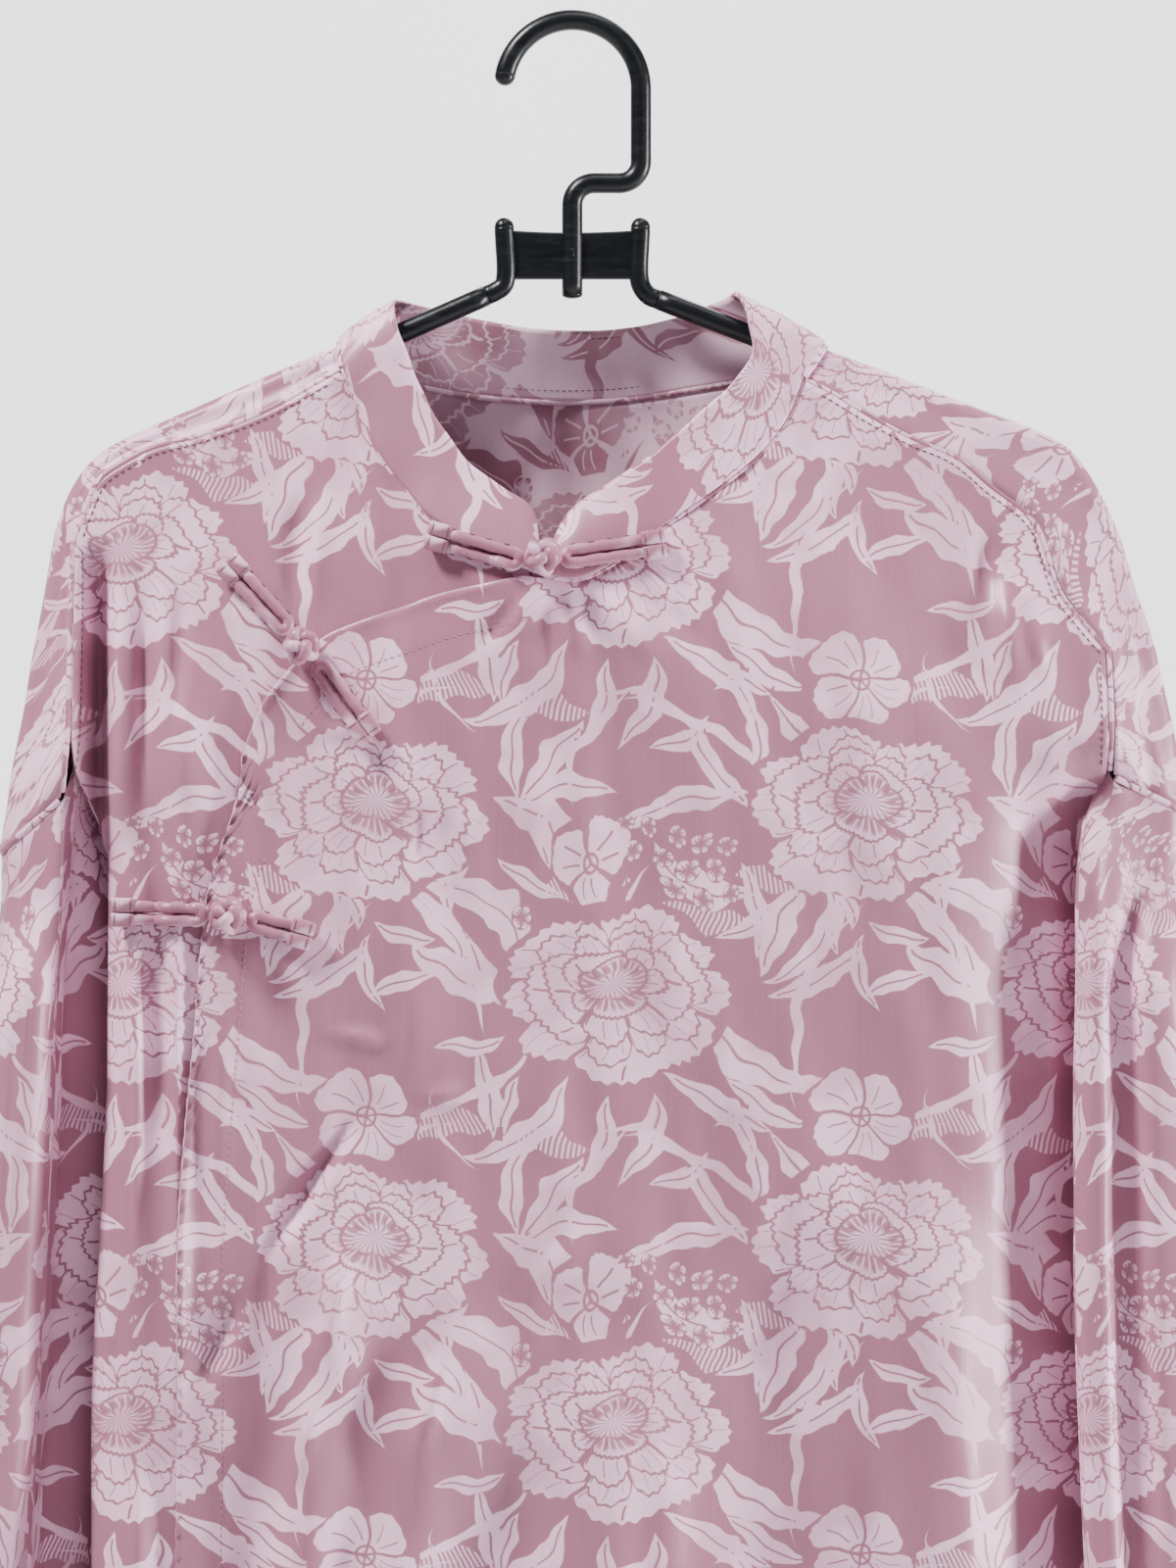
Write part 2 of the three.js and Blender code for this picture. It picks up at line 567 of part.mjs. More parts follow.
// The under front: above the diagonal, left of the overlap, and hidden below the outer front.
function frontUnder() {
  const hidden = outerGrid(underPoint);
  const feet = seamFeet("left").reverse();
  const top = [...feet, ...refined(NECK.frontLeft)];
  const above = hidden.slice(0, DIAGONAL_COLUMNS + 1).map((column) => {
    const foot = column[0];
    const x = Math.min(foot.x, OVERLAP.diagonal.at(-1)[0] - END_STEP);
    const startZ = zAt(top, x);
    const endZ = zAt(overlapDiagonal, x);
    return [...upperZs(startZ, endZ).map((z) => underPoint(x, z)), foot];
  });
  const seamXs = feet.map(([x]) => x).filter((x) => x < DIAGONAL_XS[0] - LEAST_COLUMN);
  const left = [...seamXs, ...FOLD_XS].sort((a, b) => a - b).map((startX) => {
    const startZ = zAt(top, startX);
    const share = (startX - xAt(LEFT_EDGE, startZ)) / (OVERLAP_CORNER[0] - xAt(LEFT_EDGE, startZ));
    const upper = upperZs(startZ, OVERLAP_CORNER[1]);
    const lower = rowFractions().map((fraction) => mix(OVERLAP_CORNER[1], HEM_Z, fraction));
    return [...upper, ...lower].map((z) => {
      const limit = z > OVERLAP_CORNER[1] ? OVERLAP_CORNER[0] : xAt(overlapSide, z);
      return underPoint(mix(xAt(LEFT_EDGE, z), limit, share), z);
    });
  });
  left.push([...above[0].slice(0, UNDER_TOP_ROWS), ...hidden[0]]);
  const besideTop = hidden.slice(HIDDEN_COLUMNS, DIAGONAL_COLUMNS + 2);
  return new Sheet()
    .addGrid(above)
    .addGrid(left)
    .addGrid(hidden.slice(0, HIDDEN_COLUMNS + 1))
    .addGrid(besideTop.map((column) => column.slice(0, HIDDEN_ROWS + 1)))
    .geometry();
}

function backPanel() {
  const leftStarts = capStarts("left").reverse();
  const rightStarts = capStarts("right");
  const [neckLeft, neckRight] = [leftStarts[CAP_STEPS].x, rightStarts[0].x];
  const neckShares = Array.from({ length: NECK_COLUMNS - 1 }, (_, k) => (k + 1) / NECK_COLUMNS);
  const neckXs = neckShares.map((share) => mix(neckLeft, neckRight, share));
  const neck = refined(NECK.back);
  const tops = [
    ...leftStarts.map((p) => [p.x, p.z]),
    ...neckXs.map((x) => [x, zAt(neck, x)]),
    ...rightStarts.map((p) => [p.x, p.z]),
  ];
  const main = panelGrid({
    top: tops,
    columns: tops.map(([x]) => x),
    left: (z) => xAt(LEFT_EDGE, z),
    right: (z) => xAt(RIGHT_EDGE, z),
    fractions: rowFractions(),
    point: backPoint,
  });
  const sheet = new Sheet().addGrid(main, true);
  sheet.addGrid(matchedCap("left", main.slice(0, CAP_STEPS + 1).reverse(), LEFT_DROP));
  sheet.addGrid(matchedCap("right", main.slice(-CAP_STEPS - 1), RIGHT_DROP), true);
  return sheet.geometry();
}

// A cap whose back edge uses the panel's own points, from the neck to the armhole's end.
function matchedCap(side, columns, dropRows) {
  const corner = columns[CAP_STEPS];
  const grid = capGrid(side, corner.slice(0, dropRows + 1));
  columns.slice(0, CAP_STEPS).forEach((column, k) => {
    grid[k][grid[k].length - 1] = column[0];
  });
  return grid;
}

function capEnd(side) {
  const [x, z] = BACK_LINE[side].drop.at(-1);
  const grid = capGrid(side, [backPoint(...BACK_LINE[side].drop[0]), backPoint(x, z)]);
  return grid.at(-1);
}

function sleeve(side) {
  const { inner, outer, cap, armpit, ring } = SLEEVES[side];
  const end = capEnd(side);
  const start = [
    ...cap.map((index) => end[index].clone().setZ(end[index].z - SLEEVE_GAP)),
    ...armpit.map(([x, z, y]) => new THREE.Vector3(x, y, z)),
  ];
  const rings = Array.from({ length: SLEEVE_RINGS + 1 }, (_, level) => {
    const down = (level / SLEEVE_RINGS) ** 1.3;
    const settled = smooth(0, SLEEVE_SETTLE, down);
    const points = start.map((point, k) => {
      const z = mix(point.z, CUFF_Z, down);
      const [innerX, outerX] = [xAt(inner, z), xAt(outer, z)];
      const deep = mix(SLEEVE_DEPTH.top, mix(SLEEVE_DEPTH.middle, SLEEVE_DEPTH.cuff, down), settled);
      const x = mix(point.x, mix(innerX, outerX, ring[k][0]), settled);
      const y = mix(point.y, deep * ring[k][1], settled);
      return new THREE.Vector3(x, y, z);
    });
    return curve3(points, true);
  });
  const share = (i) => i / SLEEVE_POINTS;
  const grid = Array.from({ length: SLEEVE_POINTS }, (_, i) => rings.map((curve) => curve.getPoint(share(i))));
  return new Sheet().addGrid(grid, side === "left", true).geometry();
}

// The collar in three runs that meet over the ridges: left front, back and right front.
function collarRuns() {
  const front = (rows) => [...rows].reverse().map(([x, z]) => frontPoint(x, z));
  const overRidge = (side, picks) => {
    const section = capGrid(side, BACK_LINE[side].drop.slice(0, 2).map((row) => backPoint(...row)))[0];
    return picks.map((index) => section[index].clone().setZ(section[index].z + COLLAR_RIDGE_LIFT));
  };
  const feet = {
    left: [...front(NECK.frontLeft), ...overRidge("left", [1, 2, 3, 5])],
    back: [
      ...overRidge("left", [5, 7, 8, 9]),
      ...NECK.back.map(([x, z]) => backPoint(x, z)),
      ...overRidge("right", [9, 8, 7, 5]),
    ],
    right: [...overRidge("right", [5, 3, 2, 1]), ...front(NECK.frontRight)],
  };
  return ["left", "back", "right"].map((run) => ({
    foot: curve3(feet[run]),
    top: curve3(COLLAR_TOP[run].map(([x, z, y]) => new THREE.Vector3(x, y, z))),
    steps: COLLAR_STEPS[run],
  }));
}

function collar() {
  const stations = collarRuns().flatMap(({ foot, top, steps }, run) => {
    const shares = Array.from({ length: steps + 1 }, (_, i) => i / steps).slice(run ? 1 : 0);
    return shares.map((share) => ({ low: foot.getPointAt(share), high: top.getPointAt(share) }));
  });
  const last = stations.length - 1;
  const grid = stations.map(({ low, high }, i) => {
    const fromEnd = Math.min(1, Math.min(i, last - i) / COLLAR_END.columns);
    const height = mix(COLLAR_END.lowest, 1, Math.sqrt(1 - (1 - fromEnd) ** 2));
    return Array.from({ length: COLLAR_BANDS + 1 }, (_, j) => {
      const up = (1 - j / COLLAR_BANDS) * height;
      const point = low.clone().lerp(high, up);
      const outwards = new THREE.Vector3(point.x, point.y, 0).normalize();
      point.addScaledVector(outwards, COLLAR_BELLY * Math.sin(Math.PI * up));
      point.z += COLLAR_LIFT;
      return point;
    });
  });
  return new Sheet().addGrid(grid, true).geometry(CLOTH_WALL, COLLAR_OUTSIDE);
}

// Closures

// The knot's middle, then the block and the near end of each pair of tubes, as x, z.
const CLOSURES = {
  neck: {
    knot: [-11.6, -216],
    buttonPair: [[-54, -208], [-21.4, -217.6]],
    loopPair: [[33, -211], [-2.8, -216.4]],
  },
  chest: {
    knot: [-108.8, -252],
    buttonPair: [[-137, -221], [-115.4, -244.8]],
    loopPair: [[-84, -285], [-102, -260]],
  },
  side: {
    knot: [-138.4, -360.4],
    buttonPair: [[-181, -359.4], [-148.4, -360.4]],
    loopPair: [[-109, -368], [-128.6, -362.6]],
  },
};

// Lays things on pieces of cloth: the foremost y of the cloth within reach of a place on the front.
function clothCover(pieces) {
  const meshes = pieces.map((geometry) => new THREE.Mesh(geometry, new THREE.MeshBasicMaterial()));
  const ray = new THREE.Raycaster();
  const away = new THREE.Vector3(0, 1, 0);
  const hitY = (x, z) => {
    ray.set(new THREE.Vector3(x, -300, z), away);
    const hits = ray.intersectObjects(meshes);
    return hits.length ? hits[0].point.y : 0;
  };
  const around = Array.from({ length: 8 }, (_, k) => (k * Math.PI) / 4);
  return (x, z, reach) => {
    const beside = around.map((angle) => hitY(x + reach * Math.cos(angle), z + reach * Math.sin(angle)));
    return Math.min(hitY(x, z), ...beside);
  };
}

function tubeAlong(points, radius, steps, sides = 8) {
  const path = curve3(points);
  const section = new THREE.Shape(
    Array.from({ length: sides }, (_, k) => {
      const angle = (2 * Math.PI * k) / sides;
      return new THREE.Vector2(radius * Math.cos(angle), radius * Math.sin(angle));
    }));
  return new THREE.ExtrudeGeometry(section, { steps, extrudePath: path, curveSegments: sides });
}

// A pair of tubes is one hairpin from its block to the knot and back, lying on the cloth.
function strap([block, end], cover) {
  const from = new THREE.Vector2(...block);
  const along = new THREE.Vector2(...end).sub(from);
  const length = along.length();
  along.normalize();
  const across = new THREE.Vector2(-along.y, along.x).multiplyScalar(STRAP_SPACING / 2);
  const onCloth = (distance, sideways) => {
    const spot = from.clone().addScaledVector(along, distance).addScaledVector(across, sideways);
    const clothY = cover(spot.x, spot.y, 1.5 * STRAP_RADIUS);
    return new THREE.Vector3(spot.x, clothY - STRAP_RADIUS - LAID_GAP, spot.y);
  };
  const straight = [0, 0.3, 0.6, 0.92].map((share) => share * (length - STRAP_SPACING / 2));
  const turn = [30, 90, 150].map((degrees) => THREE.MathUtils.degToRad(degrees));
  const path = [
    ...straight.map((distance) => onCloth(distance, 1)),
    ...turn.map((angle) => onCloth(length - (STRAP_SPACING / 2) * (1 - Math.sin(angle)), Math.cos(angle))),
    ...straight.reverse().map((distance) => onCloth(distance, -1)),
  ];
  const tubes = tubeAlong(path, STRAP_RADIUS, 26);
  const box = new THREE.BoxGeometry(BLOCK.length, BLOCK.height, BLOCK.width);
  const faceY = cover(block[0], block[1], BLOCK.width / 2) - LAID_GAP - BLOCK.height / 2;
  box.rotateY(-Math.atan2(along.y, along.x)).translate(block[0], faceY, block[1]);
  return joined([tubes, box]);
}

// A ball of crossing cords: the sphere dips between the cords that pass over one another.
function knot([x, z], cover) {
  const ball = new THREE.SphereGeometry(KNOT_RADIUS, 16, 12);
  const middle = new THREE.Vector3(x, cover(x, z, KNOT_REST) - SEAM_GAP - KNOT_RADIUS, z);
  const position = ball.attributes.position;
  const vertex = new THREE.Vector3();
  for (let i = 0; i < position.count; i++) {
    vertex.fromBufferAttribute(position, i);
    const unit = vertex.clone().normalize();
    const weave = Math.cos(4 * unit.x + 4 * unit.z) * Math.cos(4 * unit.x - 4 * unit.z);
    vertex.multiplyScalar(1 - KNOT_DIP * weave ** 2).add(middle);
    position.setXYZ(i, vertex.x, vertex.y, vertex.z);
  }
  return ball;
}

// Hanger

function onArc(centreX, centreZ, radius, fromAngle, toAngle, count) {
  return Array.from({ length: count + 1 }, (_, k) => {
    const angle = mix(fromAngle, toAngle, k / count);
    return new THREE.Vector3(centreX + radius * Math.cos(angle), 0, centreZ + radius * Math.sin(angle));
  });
}

function hangerHead() {
  const hookPath = [
    ...onArc(0, HOOK_CENTRE_Z, HOOK_RADIUS, HOOK_TIP_ANGLE, 0, 10),
    ...onArc(HOOK_RADIUS - STEP_BEND, HOOK_STEP_Z + STEP_BEND, STEP_BEND, 0, -Math.PI / 2, 4),
    ...onArc(STEP_BEND, HOOK_STEP_Z - STEP_BEND, STEP_BEND, Math.PI / 2, Math.PI, 4),
    new THREE.Vector3(0, 0, mix(HOOK_STEP_Z, STEM_END_Z, 0.6)),
    new THREE.Vector3(0, 0, STEM_END_Z),
  ];
  const hook = tubeAlong(hookPath, TUBE_RADIUS, 40, 8);
  const tip = new THREE.SphereGeometry(TUBE_RADIUS, 10, 8).translate(hookPath[0].x, 0, hookPath[0].z);
  const plate = new THREE.BoxGeometry(2 * POST.x, PLATE.thickness, PLATE.top - PLATE.bottom);
  plate.translate(0, 0, (PLATE.top + PLATE.bottom) / 2);
  const posts = [ARMS.left, ARMS.right].flatMap((arm) => {
    const elbow = tubeAlong([
      new THREE.Vector3(arm.side * POST.x, 0, POST.top - POST.radius),
      new THREE.Vector3(arm.side * POST.x, 0, POST.bottom),
      armAxis(arm, (POST.x + ARM_START_X) / 2),
      armAxis(arm, ARM_START_X - SEAM_GAP),
    ], POST.radius, 12, 10);
    const cap = new THREE.SphereGeometry(POST.radius, 10, 8);
    return [elbow, cap.translate(arm.side * POST.x, 0, POST.top - POST.radius)];
  });
  return joined([hook, tip, plate, ...posts]);
}

function armAxis(arm, x) {
  return new THREE.Vector3(arm.side * x, 0, arm.entryZ - (x - ARM_ENTRY_X) * arm.slope);
}

function hangerArm(arm) {
  const axis = [ARM_START_X, ARM_MIDDLE_X, arm.endX].map((x) => armAxis(arm, x));
  const tube = tubeAlong(axis, TUBE_RADIUS, 4, 12);
  const end = armAxis(arm, arm.endX);
  const round = new THREE.SphereGeometry(TUBE_RADIUS, 12, 8).translate(end.x, end.y, end.z);
  return joined([tube, round]);
}

// Colours and finishes

const satin = (color) => new THREE.MeshStandardMaterial({ color, roughness: 0.42, metalness: 0 });
const plastic = () => new THREE.MeshStandardMaterial({ color: 0x0d0d0e, roughness: 0.3, metalness: 0 });
const ROSE = 0xa8586a;
const PALE_ROSE = 0xc88f98;
const DEEP_ROSE = 0x9c4c5f;

const blouse = new THREE.Group();

function add(name, geometry, material) {
  const mesh = new THREE.Mesh(geometry, material);
  mesh.name = name;
  blouse.add(mesh);
}

const outer = frontOuter();
const under = frontUnder();
const band = collar();
add("front_outer", outer, satin(PALE_ROSE));
add("front_under", under, satin(PALE_ROSE));
add("back", backPanel(), satin(ROSE));
add("collar", band, satin(PALE_ROSE));
add("sleeve_left", sleeve("left"), satin(ROSE));
add("sleeve_right", sleeve("right"), satin(ROSE));
const cover = clothCover([outer, under, band]);
for (const [place, { knot: middle, buttonPair, loopPair }] of Object.entries(CLOSURES)) {
  add(`${place}_knot`, knot(middle, cover), satin(DEEP_ROSE));
  add(`${place}_knot_strap`, strap(buttonPair, cover), satin(DEEP_ROSE));
  add(`${place}_loop_strap`, strap(loopPair, cover), satin(DEEP_ROSE));
}
add("hanger_head", hangerHead(), plastic());
add("hanger_arm_left", hangerArm(ARMS.left), plastic());
add("hanger_arm_right", hangerArm(ARMS.right), plastic());

export default blouse;
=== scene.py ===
"""A chinese blouse of patterned satin, hanging on a plain plastic hanger.

Lengths in the tables are millimetres; meshes are made in metres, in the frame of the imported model.
+X is right and +Z is up as the front is seen, and the front faces -Y.
"""
import math

import bpy
import numpy as np
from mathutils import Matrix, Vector
from mathutils.bvhtree import BVHTree


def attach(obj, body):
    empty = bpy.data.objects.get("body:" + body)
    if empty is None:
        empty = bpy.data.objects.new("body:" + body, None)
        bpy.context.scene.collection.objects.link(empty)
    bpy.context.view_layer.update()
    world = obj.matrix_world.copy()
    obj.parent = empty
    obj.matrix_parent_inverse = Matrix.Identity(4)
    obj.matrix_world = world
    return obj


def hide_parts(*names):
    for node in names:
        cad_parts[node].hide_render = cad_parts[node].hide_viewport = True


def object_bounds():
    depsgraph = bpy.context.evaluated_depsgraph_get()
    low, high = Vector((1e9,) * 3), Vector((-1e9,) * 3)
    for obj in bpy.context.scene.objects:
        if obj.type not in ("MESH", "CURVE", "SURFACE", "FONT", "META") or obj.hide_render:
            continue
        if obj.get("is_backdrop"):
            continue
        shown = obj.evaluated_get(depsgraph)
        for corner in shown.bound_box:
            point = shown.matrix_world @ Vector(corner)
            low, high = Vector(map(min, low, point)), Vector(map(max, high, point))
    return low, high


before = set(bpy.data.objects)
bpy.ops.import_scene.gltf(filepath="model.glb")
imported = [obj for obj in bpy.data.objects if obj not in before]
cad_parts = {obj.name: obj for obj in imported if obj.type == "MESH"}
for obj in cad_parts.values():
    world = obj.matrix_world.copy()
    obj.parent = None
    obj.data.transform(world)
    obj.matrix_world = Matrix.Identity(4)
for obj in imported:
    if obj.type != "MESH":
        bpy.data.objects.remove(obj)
cad_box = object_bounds()

MM = 0.001


def placed(name, data):
    """A new object of the data, in the scene."""
    made = bpy.data.objects.new(name, data)
    bpy.context.collection.objects.link(made)
    return made


# Camera: level, in front of the chest. The long side of the picture takes in 640 mm at the hanger.
CAMERA_X = 6.4
CAMERA_Z = -307.6
CAMERA_DISTANCE = 2400
SENSOR = 36
VIEW_HEIGHT = 640

camera_data = bpy.data.cameras.new("camera")
camera_data.sensor_width = SENSOR
camera_data.lens = SENSOR * CAMERA_DISTANCE / VIEW_HEIGHT
camera = placed("camera", camera_data)
camera.location = (CAMERA_X * MM, -CAMERA_DISTANCE * MM, CAMERA_Z * MM)
camera.rotation_euler = (math.radians(90), 0, 0)
bpy.context.scene.camera = camera

# Cloth
CLOTH_WALL = 0.7
LAYER_STEP = 2.0
SIDE_GAP = 1.1
EDGE_GAP = 0.8
CORNER_GAP = 2.4
SEAM_GAP = 0.3
COLLAR_LIFT = 1.7
COLLAR_RIDGE_LIFT = 1
COLLAR_BELLY = 1.8
COLLAR_WALL = 1.2
COLLAR_FACE = 0.6

# Heights and depths of the hanging garment
HEM_Z = -790
CUFF_Z = -710
SHOULDER_PEAK_Z = -98.4
SHOULDER_SLOPE = 0.44
FRONT_DEPTH = 30
BACK_DEPTH = 27
HEM_FLARE = 7
SEAM_DEPTH = 9
CAP_DEPTH = 16
LEFT_EDGE_Y = 2
RIGHT_EDGE_Y = 8
LEFT_ROLL = 24
RIGHT_ROLL = 62
BACK_ROLL = 34
FOLD_FADE = 60
FREE_ARM = {"x": (176, 204), "drop": (185, 290)}
FLARE_START = 300
SHOULDER_BAND = 150
SEAM_FADE = (26, 60)
EDGE_FADE = {"start": 1, "end": 14, "z": -254}
NECK_BULGE = {"depth": 15, "x": 3, "z": -152, "half_width": 58, "half_height": 60}
# How far down each side starts to close below its armhole and is closed, and where its edge begins to count.
LEFT_CLOSE = {"start": 298, "end": 345, "first_z": -340}
RIGHT_CLOSE = {"start": 285, "end": 335, "first_z": -330}
ARM_FOLD = {"x": -193, "width": 5.2, "floor": -4, "top": -206, "bottom": -232}

# Hanger
TUBE_RADIUS = 4.2
HOOK_RADIUS = 28
HOOK_CENTRE_Z = TUBE_RADIUS - HOOK_RADIUS
HOOK_TIP_ANGLE = math.radians(169)
HOOK_STEP_Z = -62.4
STEP_BEND = 8.8
STEM_END_Z = -108
POST = {"x": 27.8, "radius": 4, "top": -76.4, "bottom": -103.6}
PLATE = {"top": -81.6, "bottom": -101.6, "thickness": 4}
ARM_START_X = 35
ARM_ENTRY_X = 70.8
ARMS = {
    "left": {"side": -1, "entry": -124, "slope": 0.441, "end": 181},
    "right": {"side": 1, "entry": -123.6, "slope": 0.385, "end": 183},
}

# Closures
STRAP_RADIUS = 2.3
STRAP_SPACING = 5.2
BLOCK = {"length": 10, "width": 12.4, "height": 4, "share": 1.14, "lift": 1.2}
BAR_PLACES = (-3.2, 3.2)
KNOT_RADIUS = 7.8

# Columns: x, z. The outline of each shoulder along the hanger's arm, then down the upper arm.
RIDGE = {
    "left": {
        "shoulder": [[-95, -128.5], [-119, -138.6], [-144.5, -149.8], [-170, -161], [-188.8, -170],
                     [-199.2, -179.2], [-206, -190.4], [-211, -205]],
        "drop": [[-211, -205], [-216, -232], [-219.6, -254.4], [-224.8, -286], [-229, -312], [-233, -334]],
    },
    "right": {
        "shoulder": [[103, -130], [127.2, -139], [165.6, -154.2], [191.2, -164], [203, -171], [212, -183],
                     [220.4, -199.6], [226.8, -218.4], [234.4, -241.6]],
        "drop": [[234.4, -241.6], [240.8, -267.2], [246.4, -298.8], [250, -318]],
    },
}

# Columns: x, z. The forward shoulder seam, then its straight drop to the armhole seam.
FRONT_SEAM = {
    "left": {
        "shoulder": [[-93.5, -139.5], [-125, -156.8], [-152, -166.8], [-170, -171.5], [-181, -177],
                     [-191.6, -184.5], [-197, -196], [-202, -210]],
        "drop": [[-202, -210], [-202, -260], [-202.6, -290], [-205, -311.6]],
    },
    "right": {
        "shoulder": [[94, -143.5], [104, -148.5], [118.4, -157.2], [137.6, -167.6], [155.2, -175.2],
                     [169.2, -186.8], [187.2, -202], [197.2, -230], [206.4, -242.8], [216.4, -254.4]],
        "drop": [[216.4, -254.4], [217, -280], [217.2, -302.8]],
    },
}

# Columns: x, z. The line across the back of the shoulder where the cap turns into the back's flat.
BACK_LINE = {
    "left": FRONT_SEAM["left"],
    "right": {
        "shoulder": [[97, -140], [125, -153], [152, -164], [172, -173], [190, -184], [203, -200], [212, -222],
                     [216.4, -254.4]],
        "drop": FRONT_SEAM["right"]["drop"],
    },
}

# Columns: x, z. The neck seam.
NECK = {
    "frontLeft": [[-93.5, -139.5], [-84.8, -159.6], [-78.4, -174.8], [-68, -188.8], [-56.8, -201.6],
                  [-34, -213.8], [-12, -223.6]],
    "frontRight": [[-12, -224.6], [3.2, -226], [20, -217.5], [36.4, -205], [60.8, -187.6], [77.2, -173.6],
                   [87.6, -159.6], [94, -143.5]],
    "back": [[-93.5, -139.5], [-80, -143.2], [-61.6, -145.8], [-42, -149], [-17, -150.8], [8.4, -150.8],
             [29, -149.4], [52, -146], [78, -142.2], [97, -140]],
}

# Columns: x, z, y. The collar's top edge: up the left front, round the back, and down the right front.
COLLAR_TOP = {
    "left": [[-12.4, -204.4, -16], [-17.2, -196.4, -16], [-28.4, -188.8, -16], [-42.4, -178.8, -15],
             [-55.2, -159.6, -14], [-66, -138, -12.5], [-71, -123.6, -10], [-72.6, -115, -5.5],
             [-72.4, -112.4, 0]],
    "back": [[-72.4, -112.4, 0], [-70, -111.8, 5], [-62, -113.4, 11], [-40, -118, 16], [-12, -122.5, 18],
             [16, -122.5, 18], [42, -118, 16], [59, -111.6, 11], [65.6, -108.8, 5], [67.4, -108.8, 0]],
    "right": [[67.4, -108.8, 0], [69.6, -112.4, -6], [71.8, -119.6, -10], [72.6, -134, -12.5],
              [63.2, -148, -14], [46.8, -163.2, -15], [32.8, -174.8, -16], [14.8, -187.6, -16],
              [1.6, -196.4, -16], [-6.4, -206, -16]],
}

# Columns: x, z. The curved edge where the outer front closes over the under front.
OVERLAP = {
    "diagonal": [[-133, -297], [-125.6, -276.4], [-115.2, -262.4], [-100, -248.2], [-72, -237.4],
                 [-51.6, -230.4], [-19.6, -223.6]],
    "side": [[-133, -297], [-134.4, -312], [-140.8, -331.2], [-146, -346.4], [-149.6, -372.4],
             [-151.6, -399.2], [-155.6, -446.8], [-158.4, -491.6], [-158.8, -555.2], [-159.6, -627.6],
             [-162, HEM_Z]],
}

# Columns: x, z. The body's side edges.
LEFT_EDGE = [[-202, -210], [-202, -290], [-200.5, -303], [-194, -322], [-189.5, -340], [-190, -429],
             [-192, -475], [-195, -520], [-196.4, -560], [-196.4, -627], [-199, HEM_Z]]
RIGHT_EDGE = [[216.4, -254.4], [217, -290], [216.4, -303], [214.4, -318], [213.6, -345], [213.4, -600],
              [217, HEM_Z]]

# Columns: top x, top z, bottom x, bottom z, width, rise. The largest folds, which the solids have too.
FRONT_FOLDS = [
    [-89.6, -480, -132, -800, 14, 8], [-108, -500, -152, -800, 12, -6], [-46.4, -515, -98, -800, 14, 7],
    [-20, -560, -50, -800, 20, -6], [-83, -425, -128, -510, 11, -4], [-171, -212, -168, -375, 8, -5],
    [-157, -245, -155, -380, 8, 3.5], [167.6, -184, 168, -262, 9, -4], [178, -210, 180, -300, 9, 4],
    [18, -520, 8, -800, 20, 7], [84, -470, 92, -800, 24, -7], [140, -450, 152, -800, 22, 7],
]
BACK_FOLDS = [
    [-150, -230, -158, -800, 18, 7], [-112, -290, -116, -800, 17, -6], [-62, -330, -66, -800, 22, 7],
    [2, -400, 6, -800, 24, -7], [66, -330, 72, -800, 20, 7], [118, -260, 124, -800, 18, -6],
    [160, -230, 170, -800, 18, 6],
]

# The same columns. Smaller creases of the satin, placed from the photograph.
FRONT_CREASES = [
    [-174, -216, -173, -330, 3.2, -2.2], [-166, -222, -165, -300, 3.4, 1.6],
    [-158, -216, -159, -288, 3, -1.6], [-110, -176, -112, -246, 5, -1.8], [-103, -180, -103, -240, 4.5, 1.4],
    [-168, -330, -166, -470, 4.5, -2.4], [-160, -340, -158, -560, 5, 2.2], [-176, -350, -177, -520, 5, 1.8],
    [-14, -226, -26, -252, 3.4, 1.3], [-3, -228, 6, -262, 3.6, 1.2], [-20, -232, -42, -256, 3.2, -1.1],
    [6, -226, 38, -262, 4, 1.2], [16, -222, 58, -254, 4, -1], [-8, -232, -10, -268, 3, -1],
    [-100, -282, -82, -292, 2.6, 1.4], [-96, -276, -80, -284, 2.4, -1.2], [-60, -312, -62, -345, 2.6, -1],
    [-42, -312, -44, -338, 2.6, 1.1], [-16, -238, -14, -360, 3.2, 1], [-83, -433, -128, -506, 4, -2.4],
    [-78, -438, -120, -506, 5, 1.4], [-132, -508, -153, -556, 5, -2.6], [-64, -436, -42, -430, 3, 1.2],
    [-46, -524, -66, -588, 4, 2], [-90, -490, -101, -545, 4, 2.2], [-101, -545, -114, -600, 4, 2],
    [-22, -518, 12, -484, 6, 1.6], [-102, -408, -70, -412, 3, 1.3], [168, -186, 168, -238, 4, -2.2],
    [176, -220, 178, -270, 5, 2], [186, -225, 190, -268, 4, 1.6], [150, -180, 146, -214, 5, 1.2],
    [60, -200, 66, -240, 7, 0.9], [40, -330, 36, -420, 10, 0.9], [108, -300, 116, -390, 11, -0.9],
    [96, -430, 120, -520, 9, 1], [150, -330, 152, -430, 9, 1], [184, -360, 182, -520, 7, -1.2],
    [196, -330, 195, -480, 5, 1.4], [44, -560, 34, -660, 8, 1.2], [120, -560, 128, -680, 9, -1.3],
    [-6, -400, -12, -470, 8, 0.8], [62, -420, 54, -500, 9, -0.8], [-136, -310, -124, -316, 2.6, -1.2],
    [-140, -390, -142, -480, 4, 1.2], [-118, -470, -128, -560, 5, -1.6], [-60, -380, -66, -440, 6, 0.8],
    [160, -560, 166, -700, 8, 1.4], [-174, -560, -176, -790, 7, 2.2], [-184, -420, -186, -620, 4, -1.6],
    [10, -290, 0, -340, 7, 0.7],
]
